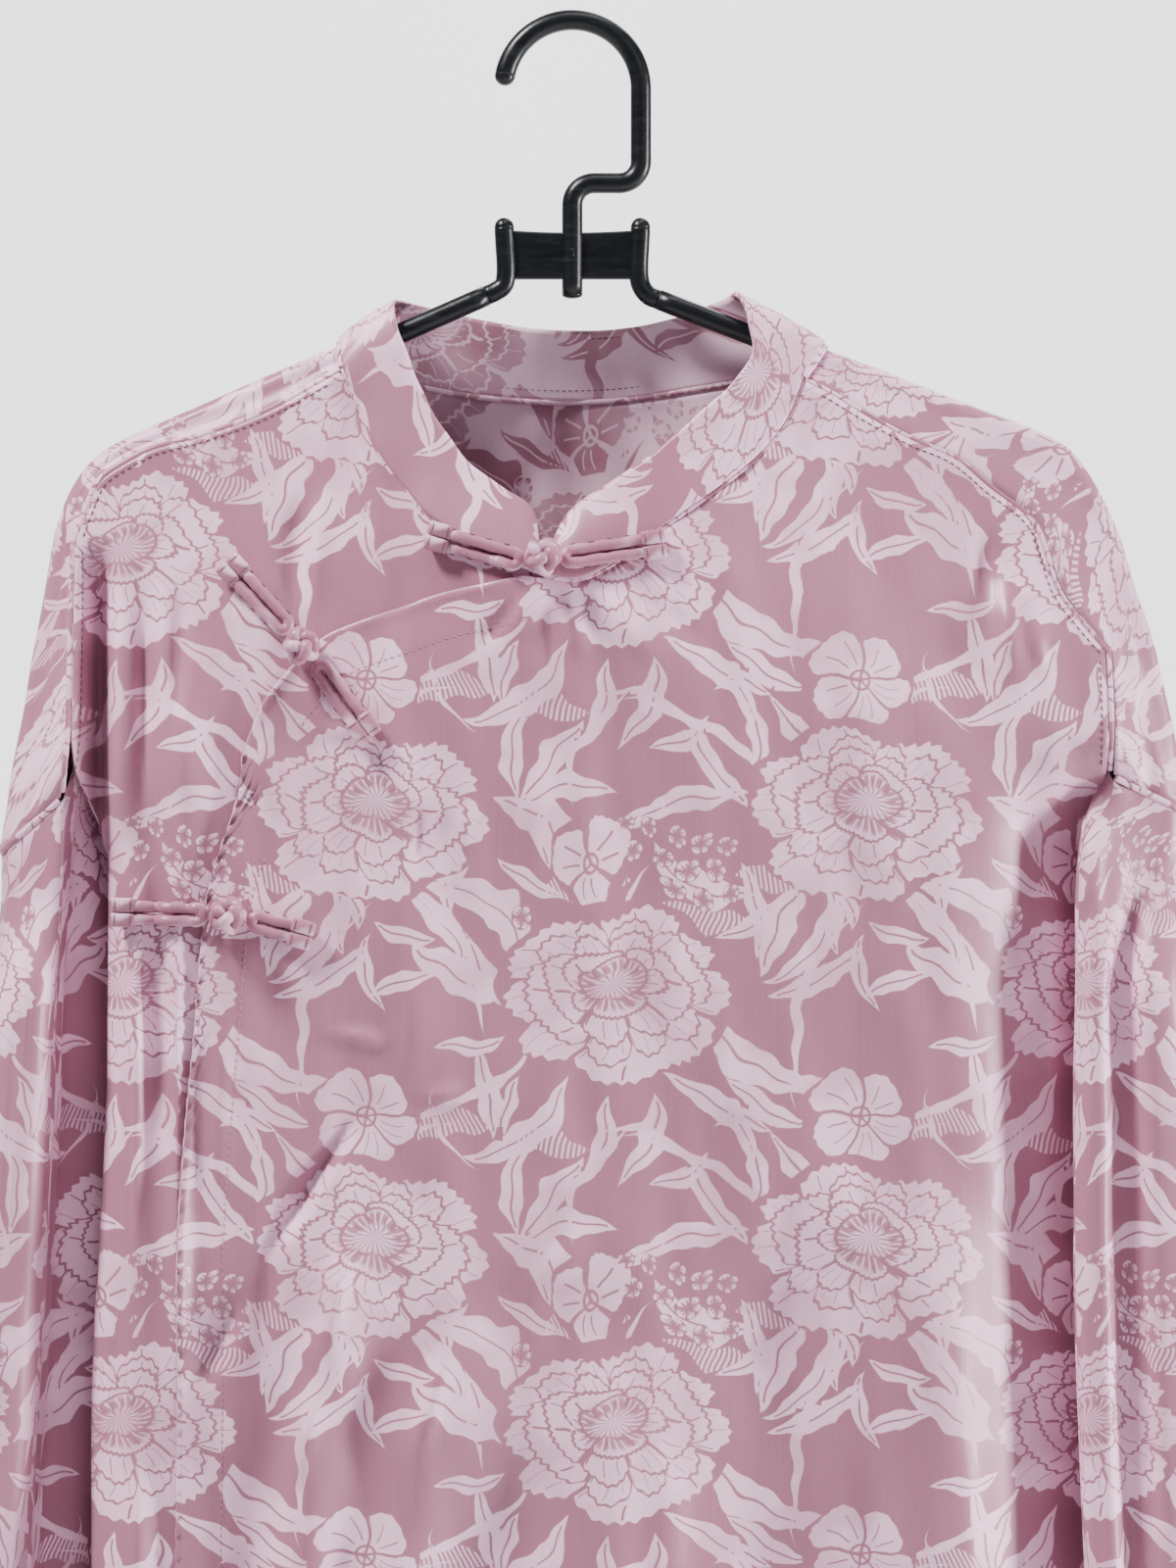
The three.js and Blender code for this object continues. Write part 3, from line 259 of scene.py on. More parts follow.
BACK_CREASES = [
    [-170, -240, -174, -420, 6, -2], [-132, -300, -138, -520, 7, 1.8], [-90, -260, -84, -420, 8, -1.6],
    [-30, -220, -24, -400, 9, 1.4], [30, -210, 36, -380, 8, -1.4], [90, -260, 96, -470, 8, 1.7],
    [138, -240, 146, -430, 7, 1.6], [184, -280, 190, -520, 6, -2], [-40, -480, -52, -760, 9, 2],
    [30, -520, 24, -780, 9, -1.8], [96, -560, 90, -790, 8, 1.8], [-120, -560, -130, -790, 8, -2],
    [-10, -160, -34, -230, 7, 1], [16, -160, 44, -236, 8, 1], [-60, -150, -96, -210, 8, 0.9],
    [66, -150, 104, -214, 8, 0.9], [-176, -520, -170, -780, 7, 1.8], [150, -520, 140, -700, 7, -1.6],
]

# inner and outer, columns x, z: the sleeve's edges as seen from the front.
# ring, columns across, deep: across is 0 at the inner edge and 1 at the outer, deep is -1 in front.
SLEEVES = {
    "left": {
        "inner": [[-202, -312], [-199, -330], [-198, -345], [-197.4, -428], [-200, -492], [-203, -542],
                  [-206.4, -594], [-208, -628], [-210, CUFF_Z]],
        "outer": [[-231, -312], [-233, -334], [-244, -420], [-250, -500], [-254, -600], [-257, CUFF_Z]],
        "cap": [0, 1, 2, 3, 5, 7, 8, 9, 10],
        "armpit": [[-197, -302, 12], [-195, -298, 2], [-198.4, -292, -8]],
        "ring": [[0.27, -0.72], [0.42, -1], [0.66, -0.96], [0.88, -0.68], [1, 0], [0.9, 0.62], [0.7, 0.96],
                 [0.46, 0.9], [-0.02, 0.95], [-0.42, 0.62], [-0.1, 0.12], [0.2, -0.12]],
    },
    "right": {
        "inner": [[217.6, -304], [211, -322], [209.6, -345], [209.2, -428], [209.6, -504], [210.8, -555],
                  [214, -628], [217, CUFF_Z]],
        "outer": [[248, -304], [250, -318], [257, -345], [266, -420], [271, -500], [274, -600],
                  [276, CUFF_Z]],
        "cap": [0, 1, 2, 3, 4, 5, 7, 8, 10],
        "armpit": [[213.6, -298, 14], [212.6, -296, 6], [213.4, -290, -4]],
        "ring": [[-0.1, -0.74], [0.08, -1], [0.21, -0.66], [0.45, -0.95], [0.8, -0.76], [1, 0], [0.86, 0.72],
                 [0.52, 0.95], [0.14, 0.8], [-0.02, 0.42], [-0.02, 0], [-0.08, -0.4]],
    },
}
SLEEVE_DEPTH = {"top": 20, "middle": 32, "cuff": 30}
SLEEVE_SETTLE = 0.2
ARMPIT_SETTLE = 0.07
ARMPIT_SHARE = 0.05
SLEEVE_GAP = 2.6

CREASE_GAIN = 2.3
TURNED_EDGE = {"rise": 1.7, "width": 2.8}

# Small tools


def smooth(start, end, value):
    t = np.clip((value - start) / (end - start), 0, 1)
    return t * t * (3 - 2 * t)


def mix(a, b, t):
    return a + (b - a) * t


def look_up(rows, given, wanted, value):
    rows = np.asarray(rows, float)
    order = np.argsort(rows[:, given], kind="stable")
    return np.interp(value, rows[order, given], rows[order, wanted])


def x_at(rows, z):
    return look_up(rows, 1, 0, z)


def z_at(rows, x):
    return look_up(rows, 0, 1, x)


def curve_through(points, closed=False, per=24):
    """A centripetal Catmull-Rom curve, with per samples between neighbouring points."""
    p = np.asarray(points, float)
    if closed:
        p = np.vstack([p[-1:], p, p[:2]])
    else:
        p = np.vstack([2 * p[0] - p[1], p, 2 * p[-1] - p[-2]])
    t = np.linspace(0, 1, per, endpoint=False)[:, None]
    out = []
    for i in range(len(p) - 3):
        a, b, c, d = p[i:i + 4]
        ab, bc, cd = (max(np.linalg.norm(v), 1e-6) ** 0.5 for v in (b - a, c - b, d - c))
        leave = bc * ((b - a) / ab - (c - a) / (ab + bc) + (c - b) / bc)
        arrive = bc * ((c - b) / bc - (d - b) / (bc + cd) + (d - c) / cd)
        out.append(b + leave * t + (3 * (c - b) - 2 * leave - arrive) * t**2
                   + (2 * (b - c) + leave + arrive) * t**3)
    return np.vstack([*out, p[-2:-1] if not closed else p[1:2]])


def lengths(points):
    steps = np.linalg.norm(np.diff(points, axis=0), axis=1)
    return np.concatenate([[0], np.cumsum(steps)])


def at_shares(points, shares):
    """Points at shares of the length along a dense curve."""
    run = lengths(points)
    where = np.asarray(shares) * run[-1]
    return np.stack([np.interp(where, run, points[:, k]) for k in range(points.shape[1])], axis=-1)


def evenly(points, count, **options):
    return at_shares(curve_through(points, **options), np.linspace(0, 1, count + 1))


# The form of the cloth


def fold_height(folds, x, z):
    height = np.zeros(np.broadcast(x, z).shape)
    for top_x, top_z, bottom_x, bottom_z, width, rise in folds:
        length = math.hypot(top_z - bottom_z, bottom_x - top_x)
        run_x, run_z = (bottom_x - top_x) / length, (bottom_z - top_z) / length
        along = (x - top_x) * run_x + (z - top_z) * run_z
        offset = (x - top_x) * run_z - (z - top_z) * run_x
        ease = min(FOLD_FADE, 0.45 * length)
        fade = smooth(0, ease, along) * (1 if bottom_z < HEM_Z else smooth(0, ease, length - along))
        height = height + rise * fade * np.exp(-((offset / width) ** 2))
    return height


def large_fold_height(folds, x, z):
    """The folds of the solids, measured across rather than square to the fold."""
    height = np.zeros(np.broadcast(x, z).shape)
    for top_x, top_z, bottom_x, bottom_z, width, rise in folds:
        length = top_z - bottom_z
        along = (top_z - z) / length
        offset = x - mix(top_x, bottom_x, along)
        fade = smooth(0, FOLD_FADE, along * length)
        if bottom_z >= HEM_Z:
            fade = fade * smooth(0, FOLD_FADE, (1 - along) * length)
        inside = (along > 0) & (along < 1)
        height = height + np.where(inside, rise * fade * np.exp(-((offset / width) ** 2)), 0)
    return height


# Columns: half waves to a mm across and down, phase, rise. Long soft undulations of hanging satin.
RIPPLES = [
    [0.031, 0.0043, 0.4, 0.5], [0.052, 0.0071, 2.1, 0.34], [0.083, 0.0102, 4.4, 0.22],
    [0.021, 0.0165, 1.3, 0.4], [0.127, 0.0063, 5.2, 0.11], [0.044, 0.031, 3.3, 0.2], [0.071, 0.043, 0.9, 0.1],
]


def ripple(x, z, turn=0.0):
    height = 0
    for across, down, phase, rise in RIPPLES:
        height = height + rise * np.sin(math.pi * (across * x + down * z) + phase + turn)
        slanted = across * x - 1.7 * down * z
        height = height + 0.5 * rise * np.sin(2 * math.pi * 0.37 * slanted + 2.3 * phase + turn)
    return height


def seam_depth(x, z):
    free = smooth(*FREE_ARM["x"], np.abs(x)) * smooth(*FREE_ARM["drop"], -z)
    return mix(SEAM_DEPTH, CAP_DEPTH, free)


def below_shoulder(x, z):
    return SHOULDER_PEAK_Z - SHOULDER_SLOPE * np.abs(x) - z


def hanging_depth(x, z, full):
    flared = full + HEM_FLARE * smooth(FLARE_START, -HEM_Z, -z)
    return mix(seam_depth(x, z), flared, smooth(0, SHOULDER_BAND, below_shoulder(x, z)))


def edge_fade(x, z):
    """1 over the panels, and 0 where they meet a seam or a side edge."""
    span = (EDGE_FADE["start"], EDGE_FADE["end"])
    side = smooth(*span, x - x_at(LEFT_EDGE, z)) * smooth(*span, x_at(RIGHT_EDGE, z) - x)
    return np.where(z < EDGE_FADE["z"], side, 1) * smooth(*SEAM_FADE, below_shoulder(x, z))


def left_edge_x(z):
    return x_at(LEFT_EDGE, np.minimum(z, LEFT_CLOSE["first_z"]))


def right_edge_x(z):
    return x_at(RIGHT_EDGE, np.minimum(z, RIGHT_CLOSE["first_z"]))


def front_depth(x, z):
    """How far the front lies ahead of the hanger's plane."""
    full = hanging_depth(x, z, FRONT_DEPTH) + large_fold_height(FRONT_FOLDS, x, z)
    fold_start = smooth(-ARM_FOLD["top"], -ARM_FOLD["bottom"], -z)
    notch = np.exp(-(((x - ARM_FOLD["x"]) / ARM_FOLD["width"]) ** 2))
    upper = full - (full - ARM_FOLD["floor"]) * fold_start * notch
    inside = np.clip((x - left_edge_x(z)) / LEFT_ROLL, 0, 1)
    rolled = mix(-LEFT_EDGE_Y + SIDE_GAP, full, np.sqrt(1 - (1 - inside) ** 2))
    left = mix(upper, rolled, smooth(LEFT_CLOSE["start"], LEFT_CLOSE["end"], -z))
    inside = np.clip((right_edge_x(z) - x) / RIGHT_ROLL, 0, 1)
    rolled = mix(-RIGHT_EDGE_Y + SIDE_GAP, full, np.sin(inside * math.pi / 2) ** 1.5)
    right = mix(full, rolled, smooth(RIGHT_CLOSE["start"], RIGHT_CLOSE["end"], -z))
    creases = CREASE_GAIN * fold_height(FRONT_CREASES, x, z) + ripple(x, z)
    return np.where(x < 0, left, right) + creases * edge_fade(x, z)


def back_depth(x, z):
    """How far the back lies behind the hanger's plane."""
    beside = (x - NECK_BULGE["x"]) / NECK_BULGE["half_width"]
    below = (z - NECK_BULGE["z"]) / NECK_BULGE["half_height"]
    bulge = NECK_BULGE["depth"] * np.exp(-(beside**2)) * np.exp(-(below**2))
    full = hanging_depth(x, z, BACK_DEPTH) + large_fold_height(BACK_FOLDS, x, z) + bulge
    edge_x = np.where(x < 0, left_edge_x(z), right_edge_x(z))
    edge_y = np.where(x < 0, LEFT_EDGE_Y, RIGHT_EDGE_Y)
    inside = np.clip(np.abs(x - edge_x) / BACK_ROLL, 0, 1) * (np.abs(x) < np.abs(edge_x))
    rolled = mix(edge_y + SIDE_GAP, full, np.sqrt(1 - (1 - inside) ** 2))
    depth = mix(full, rolled, smooth(LEFT_CLOSE["start"], LEFT_CLOSE["end"], -z))
    return depth + (CREASE_GAIN * fold_height(BACK_CREASES, x, z) + ripple(x, z, 2.6)) * edge_fade(x, z)


def front_point(x, z, inset=0.0):
    """A point of the front, or of a layer that lies inset behind it."""
    step = 0.5
    y = front_depth(x, z)
    point = np.stack(np.broadcast_arrays(x, -y, z), axis=-1).astype(float)
    if np.any(inset):
        slope_x = (front_depth(x + step, z) - front_depth(x - step, z)) / (2 * step)
        slope_z = (front_depth(x, z + step) - front_depth(x, z - step)) / (2 * step)
        normal = np.stack(np.broadcast_arrays(-slope_x, -1.0, -slope_z), axis=-1)
        normal /= np.linalg.norm(normal, axis=-1, keepdims=True)
        point = point - normal * np.asarray(inset)[..., None]
    return point


def back_point(x, z):
    return np.stack(np.broadcast_arrays(x, back_depth(x, z), z), axis=-1).astype(float)


OVERLAP_SIDE = evenly(OVERLAP["side"], 60)
OVERLAP_DIAGONAL = evenly(OVERLAP["diagonal"], 60)
OVERLAP_EDGE = np.vstack([OVERLAP_DIAGONAL[::-1], OVERLAP_SIDE])
OVERLAP_CORNER = OVERLAP["side"][0]
OVERLAP_END_X = OVERLAP["diagonal"][-1][0]
HIDDEN_WIDTH = 45
HIDDEN_DROP = 36


def under_point(x, z):
    """The under front lies a layer inside the outer front, and comes out level with it away from there."""
    x, z = np.broadcast_arrays(x, z)
    edge = OVERLAP_EDGE[:, :, None]
    away = np.min(np.hypot(edge[:, 0] - x.ravel(), edge[:, 1] - z.ravel()), axis=0).reshape(x.shape)
    open_cloth = (x < x_at(OVERLAP_SIDE, np.minimum(z, OVERLAP_CORNER[1]))) | (
        (z > OVERLAP_CORNER[1]) & (z > z_at(OVERLAP_DIAGONAL, x)))
    inset = LAYER_STEP * np.where(open_cloth, 1 - smooth(6, 34, away), 1)
    return front_point(x, z, inset)


# The woven pattern. All of it repeats over this block of cloth, in mm.
REPEAT = np.array([199.2, 176.0])
PEONIES = [(-81.0, -318.0, 1), (18.0, -391.0, -1)]
PEONY_SIZE = (47.0, 36.0)
PEONY_REACH = 41
PEONY_MIDDLE = 0.06
# How much more a mm up counts than a mm across, squared, in the flower's oval.
OVAL = 1.7

# Columns: radius as a share of the flower, petals, turn, how far its middle is above the heart, notch depth.
PETAL_RINGS = [
    [1.0, 7, 0.5, -0.10, 0.2], [0.8, 8, 1.5, -0.06, 0.24], [0.62, 6, 0.2, -0.02, 0.26],
    [0.42, 5, 1.2, 0.05, 0.3], [0.26, 4, 0.3, 0.08, 0.3],
]

# Columns: x and y of its middle from its peony, turn, half length, half width, bend, kind.
# A stem is all pale, a leaf has a vein, a comb is a leaf-shaped patch of fine lines.
STEM, LEAF, COMB = 0, 1, 2
SPRAYS = [
    [
        [60, 25, 80, 20, 4.4, 2.4, LEAF], [71, 21, 50, 21, 5.4, -2.6, LEAF], [78, 5, 10, 22, 5.4, 3.4, LEAF],
        [66, -14, -46, 28, 7.2, 9, LEAF], [-58, 18, 120, 21, 5.0, 3, LEAF],
        [-46, 29, 104, 15, 3.8, -2.6, LEAF], [-71, -1, 196, 25, 4.8, -6, LEAF],
        [-64, -24, 152, 24, 6.0, 8, LEAF], [-27, -49, 236, 24, 5.6, 9, LEAF],
        [-47, -44, 208, 14, 4.0, 3, LEAF], [42, -48, -36, 30, 8.6, 12, LEAF],
        [58, -66, -36, 26, 5.8, -8, LEAF], [24, -56, -58, 38, 2.0, 11, STEM],
        [-68, 26, 150, 36, 2.0, -9, STEM], [12, -49, 170, 12, 3.4, 1, LEAF], [2, -66, 96, 14, 3.2, 4, LEAF],
        [34, 48, -64, 17, 0.9, -7, STEM], [22, 40, 34, 15, 0.9, 6, STEM], [-28, 36, 132, 15, 3.8, 3, LEAF],
        [-76, -44, 178, 27, 7.0, 0, COMB], [86, -32, 8, 20, 6.8, 2, COMB], [92, 24, 62, 26, 2.0, 8, STEM],
        [44, 62, 100, 18, 4.4, -4, LEAF], [56, 56, 70, 15, 3.6, 3, LEAF], [-92, 42, 64, 20, 4.8, -4, LEAF],
        [-38, 60, 150, 19, 4.6, 5, LEAF], [-50, 48, 176, 13, 3.4, -3, LEAF], [70, 42, -8, 17, 5.4, 0, COMB],
        [-10, -46, 268, 13, 3.4, -3, LEAF], [88, -52, -62, 19, 4.6, 5, LEAF],
    ],
    [
        [68, 25, 64, 22, 5.8, 4, LEAF], [54, 31, 96, 20, 4.6, -3, LEAF], [82, 8, 24, 21, 5.2, -4, LEAF],
        [-59, 12, 158, 27, 6.6, 8, LEAF], [-74, 25, 124, 20, 5.0, -4, LEAF],
        [-41, -51, 214, 27, 6.6, 9, LEAF], [60, -24, -30, 28, 6.6, -9, LEAF],
        [37, -53, -46, 25, 6.0, 8, LEAF], [-9, -58, 250, 18, 4.6, 4, LEAF], [86, -6, 72, 42, 2.1, 12, STEM],
        [-63, -35, 28, 38, 2.0, -10, STEM], [-85, 2, 12, 16, 4.0, 3, LEAF], [-34, 45, 142, 15, 3.8, 3, LEAF],
        [4, 70, 20, 15, 3.6, -3, LEAF], [72, 47, 4, 24, 7.0, 0, COMB], [-74, -57, 10, 25, 6.0, 3, COMB],
        [10, 36, 70, 15, 0.9, 4, STEM], [-62, 44, 70, 17, 4.2, 4, LEAF], [14, -64, -20, 22, 2.0, 6, STEM],
        [26, -72, 30, 14, 3.8, -3, LEAF], [-28, 62, 100, 13, 3.4, 2, LEAF], [88, 36, 120, 15, 3.8, -3, LEAF],
        [-60, -20, 190, 15, 3.8, 3, LEAF], [84, -42, -20, 18, 4.6, 4, LEAF],
    ],
]

# Columns: x and y of its middle from its peony, size, petals, turn, height over width.
ROSETTES = [
    [
        [-3, 52, 22, 5, 0.5, 0.95], [60, -42, 4.4, 5, 0.2, 1], [-94, -18, 4.2, 5, 1.0, 1],
        [-88, -8, 3.6, 5, 0.4, 1], [-98, -6, 3.9, 5, 0.1, 1],
    ],
    [
        [-10, 53, 15, 3, 2.0, 1.4], [22, 42, 4.6, 5, 0.2, 1], [33, 38, 4.2, 5, 1.1, 1],
        [29, 50, 4.8, 5, 0.7, 1], [40, 48, 4.4, 5, 0.1, 1], [20, 54, 3.9, 5, 1.4, 1],
        [36, 60, 4.8, 5, 0.4, 1], [26, 63, 4.2, 5, 0.9, 1], [46, 57, 3.8, 5, 0.6, 1],
        [46, 38, 3.8, 5, 0.3, 1],
    ],
]


def wrap_round(offset):
    return (offset + REPEAT / 2) % REPEAT - REPEAT / 2


def best_shapes(shapes, owner, offset, ranks):
    """For each corner, its place in the best shape at its face, in the second best, and so on.

    A shape is its rank at each face, its own axes as a matrix, each face's place in it, and its numbers.
    """
    chosen = np.argsort(-np.stack([shape[0] for shape in shapes]), axis=0)[:ranks]
    found = []
    for level in chosen:
        rows = np.zeros((len(owner), 2 + len(shapes[0][3])), dtype=np.float32)
        for index, (_, axes, spots, numbers) in enumerate(shapes):
            picked = (level == index)[owner]
            rows[picked, :2] = spots[owner[picked]] + offset[picked] @ axes
            rows[picked, 2:] = numbers
        found.append(rows)
    return found


def pattern_places(places, owner):
    """For each corner of each face, its place in the flower, rosette and two sprays nearest to the face.

    places are flat cloth places in mm, and owner is the face that each belongs to.
    """
    u, v = places[:, 0], places[:, 1]
    drift_u = 1.6 * np.sin(v * 0.143 + 1.3 * np.sin(u * 0.0946)) + 0.7 * np.sin(v * 0.357 + u * 0.126)
    drift_v = 1.5 * np.sin(u * 0.158 + 1.1 * np.sin(v * 0.107)) + 0.7 * np.sin(u * 0.347 - v * 0.143)
    moved = np.stack([u + drift_u, v + drift_v], axis=-1)
    count = owner.max() + 1
    share = np.bincount(owner, minlength=count)
    middle = np.stack([np.bincount(owner, moved[:, k], count) / share for k in range(2)], axis=-1)
    offset = moved - middle[owner]
    flowers, rosettes, sprays = [], [], []
    for (peony_x, peony_y, side), blooms, leaves in zip(PEONIES, ROSETTES, SPRAYS):
        spots = wrap_round(middle - [peony_x, peony_y])
        rank = -(spots[:, 0] ** 2 + OVAL * spots[:, 1] ** 2)
        flowers.append((rank, np.diag([side, 1]), spots * [side, 1], (0,)))
        for x, y, size, petals, turn, tall in blooms:
            spots = wrap_round(middle - [peony_x + x, peony_y + y]) / [1, tall]
            rank = size - np.hypot(spots[:, 0], spots[:, 1])
            rosettes.append((rank, np.diag([1, 1 / tall]), spots, (size, petals, turn, 0)))
        for x, y, degrees, half_length, half_width, bend, kind in leaves:
            c, s = math.cos(math.radians(degrees)), math.sin(math.radians(degrees))
            axes = np.array([[c / half_length, -s], [s / half_length, c]])
            spots = wrap_round(middle - [peony_x + x, peony_y + y]) @ axes
            taper = 1 - spots[:, 0] ** 2
            rank = taper * half_width - np.abs(spots[:, 1] - taper * bend)
            sprays.append((rank, axes, spots, (kind, bend, half_width, half_length)))
    flower = best_shapes(flowers, owner, offset, 1)[0]
    rosette = best_shapes(rosettes, owner, offset, 1)[0]
    first, second = best_shapes(sprays, owner, offset, 2)
    return {
        "flower": flower, "rosette": rosette[:, :3], "rosette_form": rosette[:, 3:],
        "spray_a": first[:, :3], "spray_a_form": first[:, 3:],
        "spray_b": second[:, :3], "spray_b_form": second[:, 3:],
    }


def store_pattern(mesh, places):
    """Writes the flat cloth places, and the places in the pattern, to a mesh's corners."""
    places = np.asarray(places, dtype=float)
    uv = mesh.uv_layers.new(name="cloth")
    uv.data.foreach_set("uv", (places * MM).astype(np.float32).ravel())
    totals = np.zeros(len(mesh.polygons), dtype=np.int32)
    mesh.polygons.foreach_get("loop_total", totals)
    owner = np.repeat(np.arange(len(totals)), totals)
    for name, values in pattern_places(places, owner).items():
        layer = mesh.attributes.new(name, "FLOAT_VECTOR", "CORNER")
        layer.data.foreach_set("vector", np.ascontiguousarray(values, dtype=np.float32).ravel())


# Meshes


def cloth_piece(name, points, faces, places, materials, indexes):
    """An object with a flat cloth place for each corner of its faces, and a material for each face."""
    mesh = bpy.data.meshes.new(name)
    mesh.from_pydata((np.asarray(points) * MM).tolist(), [], faces)
    store_pattern(mesh, places)
    for material in materials:
        mesh.materials.append(material)
    mesh.polygons.foreach_set("material_index", np.array(indexes, dtype=np.int32))
    mesh.polygons.foreach_set("use_smooth", np.ones(len(faces), dtype=bool))
    mesh.update()
    return placed(name, mesh)


class Sheet:
    """Grids of points welded into one surface, which then gets a wall, an outside and a reverse."""

    def __init__(self):
        self.points = []
        self.known = {}
        self.faces = []
        self.cloth = []

    def index(self, point):
        key = tuple(np.round(point, 3))
        if key not in self.known:
            self.known[key] = len(self.points)
            self.points.append(point)
        return self.known[key]

    def add(self, grid, cloth, turned=False):
        """grid[i, j] are points and cloth[i, j] their places on the flat cloth, in mm."""
        ids = [[self.index(point) for point in column] for column in grid]
        for i in range(len(ids) - 1):
            for j in range(len(ids[i]) - 1):
                corners = [(i, j), (i, j + 1), (i + 1, j + 1), (i + 1, j)]
                if turned:
                    corners.reverse()
                face, places = [], []
                for a, b in corners:
                    if ids[a][b] not in face:
                        face.append(ids[a][b])
                        places.append(cloth[a, b])
                if len(face) > 2:
                    self.faces.append(face)
                    self.cloth.append(places)
        return self

    def make(self, name, materials, inside=CLOTH_WALL, outside=0.0):
        points = np.array(self.points)
        count = len(points)
        normals = np.zeros_like(points)
        quads = np.array([f if len(f) == 4 else [*f, f[0]] for f in self.faces])
        a, b, c, d = (points[quads[:, k]] for k in range(4))
        face_normals = np.cross(c - a, d - b)
        for k in range(4):
            np.add.at(normals, quads[:, k], face_normals)
        normals /= np.maximum(np.linalg.norm(normals, axis=1, keepdims=True), 1e-9)
        edges = {}
        for face in self.faces:
            for k, start in enumerate(face):
                edges[(start, face[(k + 1) % len(face)])] = True
        rim = [[b, a, a + count, b + count] for a, b in edges if (b, a) not in edges]
        faces = [*self.faces, *[[v + count for v in reversed(f)] for f in self.faces], *rim]
        places = [p for face in self.cloth for p in face]
        places += [p for face in self.cloth for p in reversed(face)]
        known = {}
        for face, spots in zip(self.faces, self.cloth):
            known.update(zip(face, spots))
        for b, a, _, _ in rim:
            places += [known[b], known[a], known[a], known[b]]
        sides = np.arange(len(faces)) >= len(self.faces)
        walls = np.vstack([points + normals * outside, points - normals * inside])
        return cloth_piece(name, walls, faces, places, materials, sides)


def panel(top, columns, left, right, fractions, point):
    """Columns start on the top line and run down to the hem between the side edges."""
    start_x = np.asarray(columns)[:, None]
    start_z = z_at(top, start_x)
    z = mix(start_z, HEM_Z, np.asarray(fractions)[None, :])
    share = (start_x - left(start_z)) / (right(start_z) - left(start_z))
    x = mix(left(z), right(z), share)
    return point(x, z), np.stack([x, z], axis=-1)


ROW_COUNTS = (18, 16, 168)
CAP_STEPS = 46
COLUMN_STEP = 2.5


def row_fractions():
    """Rows that fall on the end of each armhole."""
    armholes = [(FRONT_SEAM[side]["drop"][-1][1] - edge[0][1]) / (HEM_Z - edge[0][1])
                for side, edge in (("right", RIGHT_EDGE), ("left", LEFT_EDGE))]
    stops = [0, *armholes, 1]
    spans = [np.linspace(a, b, n, endpoint=False) for a, b, n in zip(stops, stops[1:], ROW_COUNTS)]
    return np.concatenate([*spans, [1]])


def seam_feet(side):
    return evenly(FRONT_SEAM[side]["shoulder"], CAP_STEPS)


def spaced(start, end, step):
    return np.linspace(start, end, max(2, round(abs(end - start) / step) + 1))


def front_outer(materials):
    neck = evenly(NECK["frontRight"], 80)
    feet = seam_feet("right")
    top = np.vstack([OVERLAP_DIAGONAL, neck, feet[1:]])
    columns = np.concatenate([
        spaced(OVERLAP_CORNER[0], OVERLAP_END_X, COLUMN_STEP),
        spaced(NECK["frontRight"][0][0], NECK["frontRight"][-1][0], COLUMN_STEP), feet[1:, 0]])
    grid, cloth = panel(
        top, columns,
        lambda z: np.where(z > OVERLAP_CORNER[1], OVERLAP_CORNER[0], x_at(OVERLAP_SIDE, z)),
        lambda z: x_at(RIGHT_EDGE, z), row_fractions(), front_point)
    near = grid[..., 0] < 0
    edge = OVERLAP_EDGE[:, :, None]
    away = np.min(np.hypot(edge[:, 0] - grid[near][:, 0], edge[:, 1] - grid[near][:, 2]), axis=0)
    turned = grid[near]
    turned[:, 1] -= TURNED_EDGE["rise"] * np.exp(-((away / TURNED_EDGE["width"]) ** 2))
    grid[near] = turned
    return Sheet().add(grid, cloth).make("front_outer_cloth", materials)


UNDER_SPLIT_X = OVERLAP_CORNER[0] + HIDDEN_WIDTH
UNDER_LAST_X = -12.5
UNDER_ROWS = {"upper": 56, "lower": 200}
# Columns: first x, last x, step. Closer together at the fold beside the arm.
FOLD_COLUMNS = (-201, -176, 1.2)
FLAT_COLUMNS = (-174, UNDER_SPLIT_X, 2.4)


def front_under(materials):
    feet = seam_feet("left")[::-1]
    top = np.vstack([feet, evenly(NECK["frontLeft"], 80)])
    limit_z = z_at(OVERLAP_DIAGONAL, UNDER_SPLIT_X) - HIDDEN_DROP

    def column(start_x, low_z):
        return mix(z_at(top, start_x), low_z, np.linspace(0, 1, UNDER_ROWS["upper"] + 1))

    right_xs = spaced(UNDER_SPLIT_X, UNDER_LAST_X, COLUMN_STEP)
    right_lows = z_at(OVERLAP_DIAGONAL, np.minimum(right_xs, OVERLAP_END_X)) - HIDDEN_DROP
    right = np.array([column(x, low) for x, low in zip(right_xs, right_lows)])
    right_x = np.repeat(right_xs[:, None], UNDER_ROWS["upper"] + 1, axis=1)
    first_x = LEFT_EDGE[0][0]
    left_xs = np.concatenate([[first_x], spaced(*FOLD_COLUMNS), spaced(*FLAT_COLUMNS)])
    below = np.linspace(limit_z, HEM_Z, UNDER_ROWS["lower"])
    left_z = np.array([np.concatenate([column(x, limit_z)[:-1], below]) for x in left_xs])
    edge = x_at(LEFT_EDGE, left_z)
    limit = x_at(OVERLAP_SIDE, np.minimum(left_z, OVERLAP_CORNER[1])) + HIDDEN_WIDTH
    share = ((left_xs - first_x) / (UNDER_SPLIT_X - first_x))[:, None]
    left_x = mix(edge, limit, share)
    sheet = Sheet()
    sheet.add(under_point(left_x, left_z), np.stack([left_x, left_z], axis=-1))
    sheet.add(under_point(right_x, right), np.stack([right_x, right], axis=-1))
    return sheet.make("front_under_cloth", materials)


